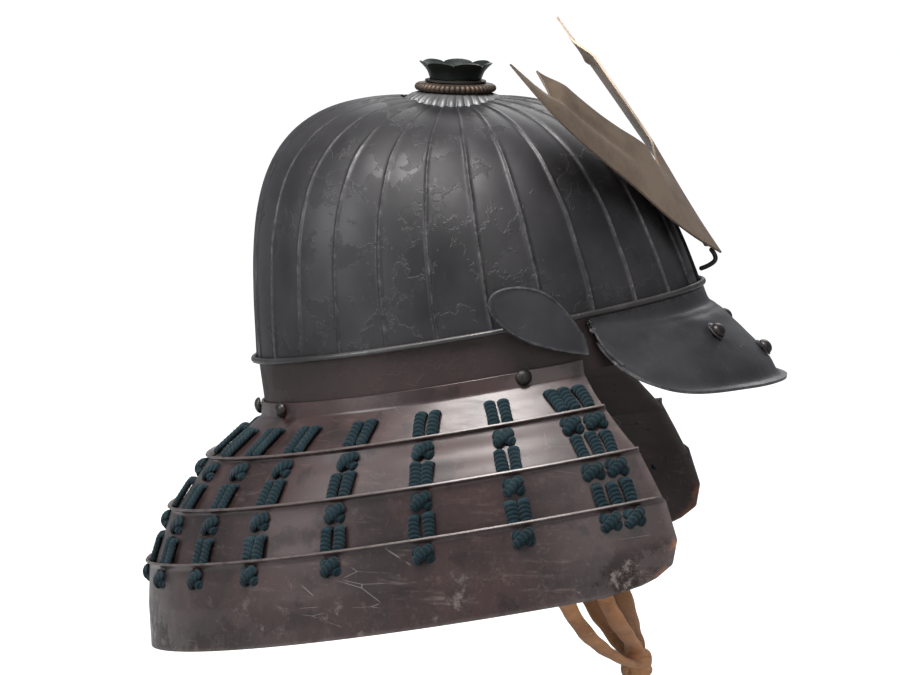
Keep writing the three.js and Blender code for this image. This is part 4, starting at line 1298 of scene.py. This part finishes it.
@dataclass
class Studio:
    """A pale floor and backdrop, soft lights and the camera."""

    azimuth: float = math.radians(274)
    elevation: float = math.radians(5.5)
    distance: float = 5.5
    frame_width: float = 0.495  # what the camera takes in at the helmet
    aim_right: float = -0.0197
    aim_up: float = 0.0134
    floor: float = -0.215
    sensor: float = 36.0

    def back(self) -> Vector:
        """The way from the helmet to the camera."""
        a, e = self.azimuth, self.elevation
        return Vector((math.sin(a) * math.cos(e), -math.cos(a) * math.cos(e), math.sin(e)))

    def camera(self) -> None:
        """A long lens far away, aimed a little off the origin."""
        data = bpy.data.cameras.new("camera")
        data.sensor_width = self.sensor
        data.lens = self.sensor * self.distance / self.frame_width
        camera = bpy.data.objects.new("camera", data)
        bpy.context.scene.collection.objects.link(camera)
        turn = (-self.back()).to_track_quat("-Z", "Y")
        target = turn @ Vector((self.aim_right, self.aim_up, 0.0))
        camera.location = target + self.back() * self.distance
        camera.rotation_euler = turn.to_euler()
        bpy.context.scene.camera = camera

    def light(self, name: str, spot: Sequence[float], size: float, power: float, tint: Colour) -> None:
        """A square soft light that faces the helmet."""
        data = bpy.data.lights.new(name, "AREA")
        data.size, data.energy, data.color = size, power, tint
        lamp = bpy.data.objects.new(name, data)
        lamp.location = spot
        lamp.rotation_euler = (-Vector(spot)).to_track_quat("-Z", "Y").to_euler()
        bpy.context.scene.collection.objects.link(lamp)

    def backdrop(self) -> None:
        """A round floor that bends up all round at a distance, so that it is pale from every side."""
        profile = spline([(0, 0), (7.0, 0), (12.4, 0.4), (14.4, 2.4), (14.8, 7.5)], 60)
        angle = np.linspace(0, 2 * math.pi, 96, endpoint=False)[:, None]
        r, z = profile[None, :, 0] + 1e-4, profile[None, :, 1]
        points = np.stack([r * np.cos(angle), r * np.sin(angle), z + self.floor + 0 * angle], axis=-1)
        mesh = bpy.data.meshes.new("backdrop")
        quads = grid_faces(96, len(profile), True, False)
        mesh.from_pydata(points.reshape(-1, 3).tolist(), [], quads.tolist())
        mesh.polygons.foreach_set("use_smooth", np.ones(len(mesh.polygons), dtype=bool))
        paper = Finish("white paper")
        seen = paper.node("ShaderNodeLightPath", {}, {}, "Is Camera Ray")
        glow = paper.blend((0.16, 0.165, 0.175), (0.93, 0.93, 0.94), seen)
        paper.set(base_color=(0.3, 0.3, 0.3), roughness=0.85, emission_color=glow, emission_strength=1.0)
        mesh.materials.append(paper.material)
        sweep = bpy.data.objects.new("backdrop", mesh)
        bpy.context.scene.collection.objects.link(sweep)

    def build(self) -> None:
        """Sets the studio up."""
        self.camera()
        world = bpy.data.worlds.new("studio air")
        world.use_nodes = True
        world.node_tree.nodes["Background"].inputs["Color"].default_value = (0.95, 0.97, 1.0, 1.0)
        world.node_tree.nodes["Background"].inputs["Strength"].default_value = 0.3
        bpy.context.scene.world = world
        bpy.context.scene.view_settings.view_transform = "Standard"
        self.backdrop()
        self.light("overhead", (-0.9, 0.35, 1.8), 1.0, 74.0, (1.0, 0.99, 0.97))
        self.light("window side", (-1.1, 1.9, 0.8), 0.9, 22.0, (0.95, 0.98, 1.0))
        self.light("camera side", (-2.2, -0.9, 0.7), 1.2, 7.0, (1.0, 0.99, 0.98))
        self.light("far side", (1.6, -0.2, 1.3), 1.2, 14.0, (1.0, 1.0, 1.0))


def main() -> None:
    """Builds the studio, then each sub-assembly in order."""
    logging.basicConfig(level=logging.INFO, format="%(name)s %(message)s")
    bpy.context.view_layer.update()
    Studio().build()
    finishes = Finishes()
    bowl = Bowl()
    guard = NeckGuard()
    assemblies = (
        ChinCord(), bowl, guard, Lacing(guard), Visor(bowl), TurnBack(), CrownFittings(), Crest(),
    )
    for assembly in assemblies:
        log.info("building %s", type(assembly).__name__)
        assembly.build(finishes)


if __name__ == "__main__":
    main()
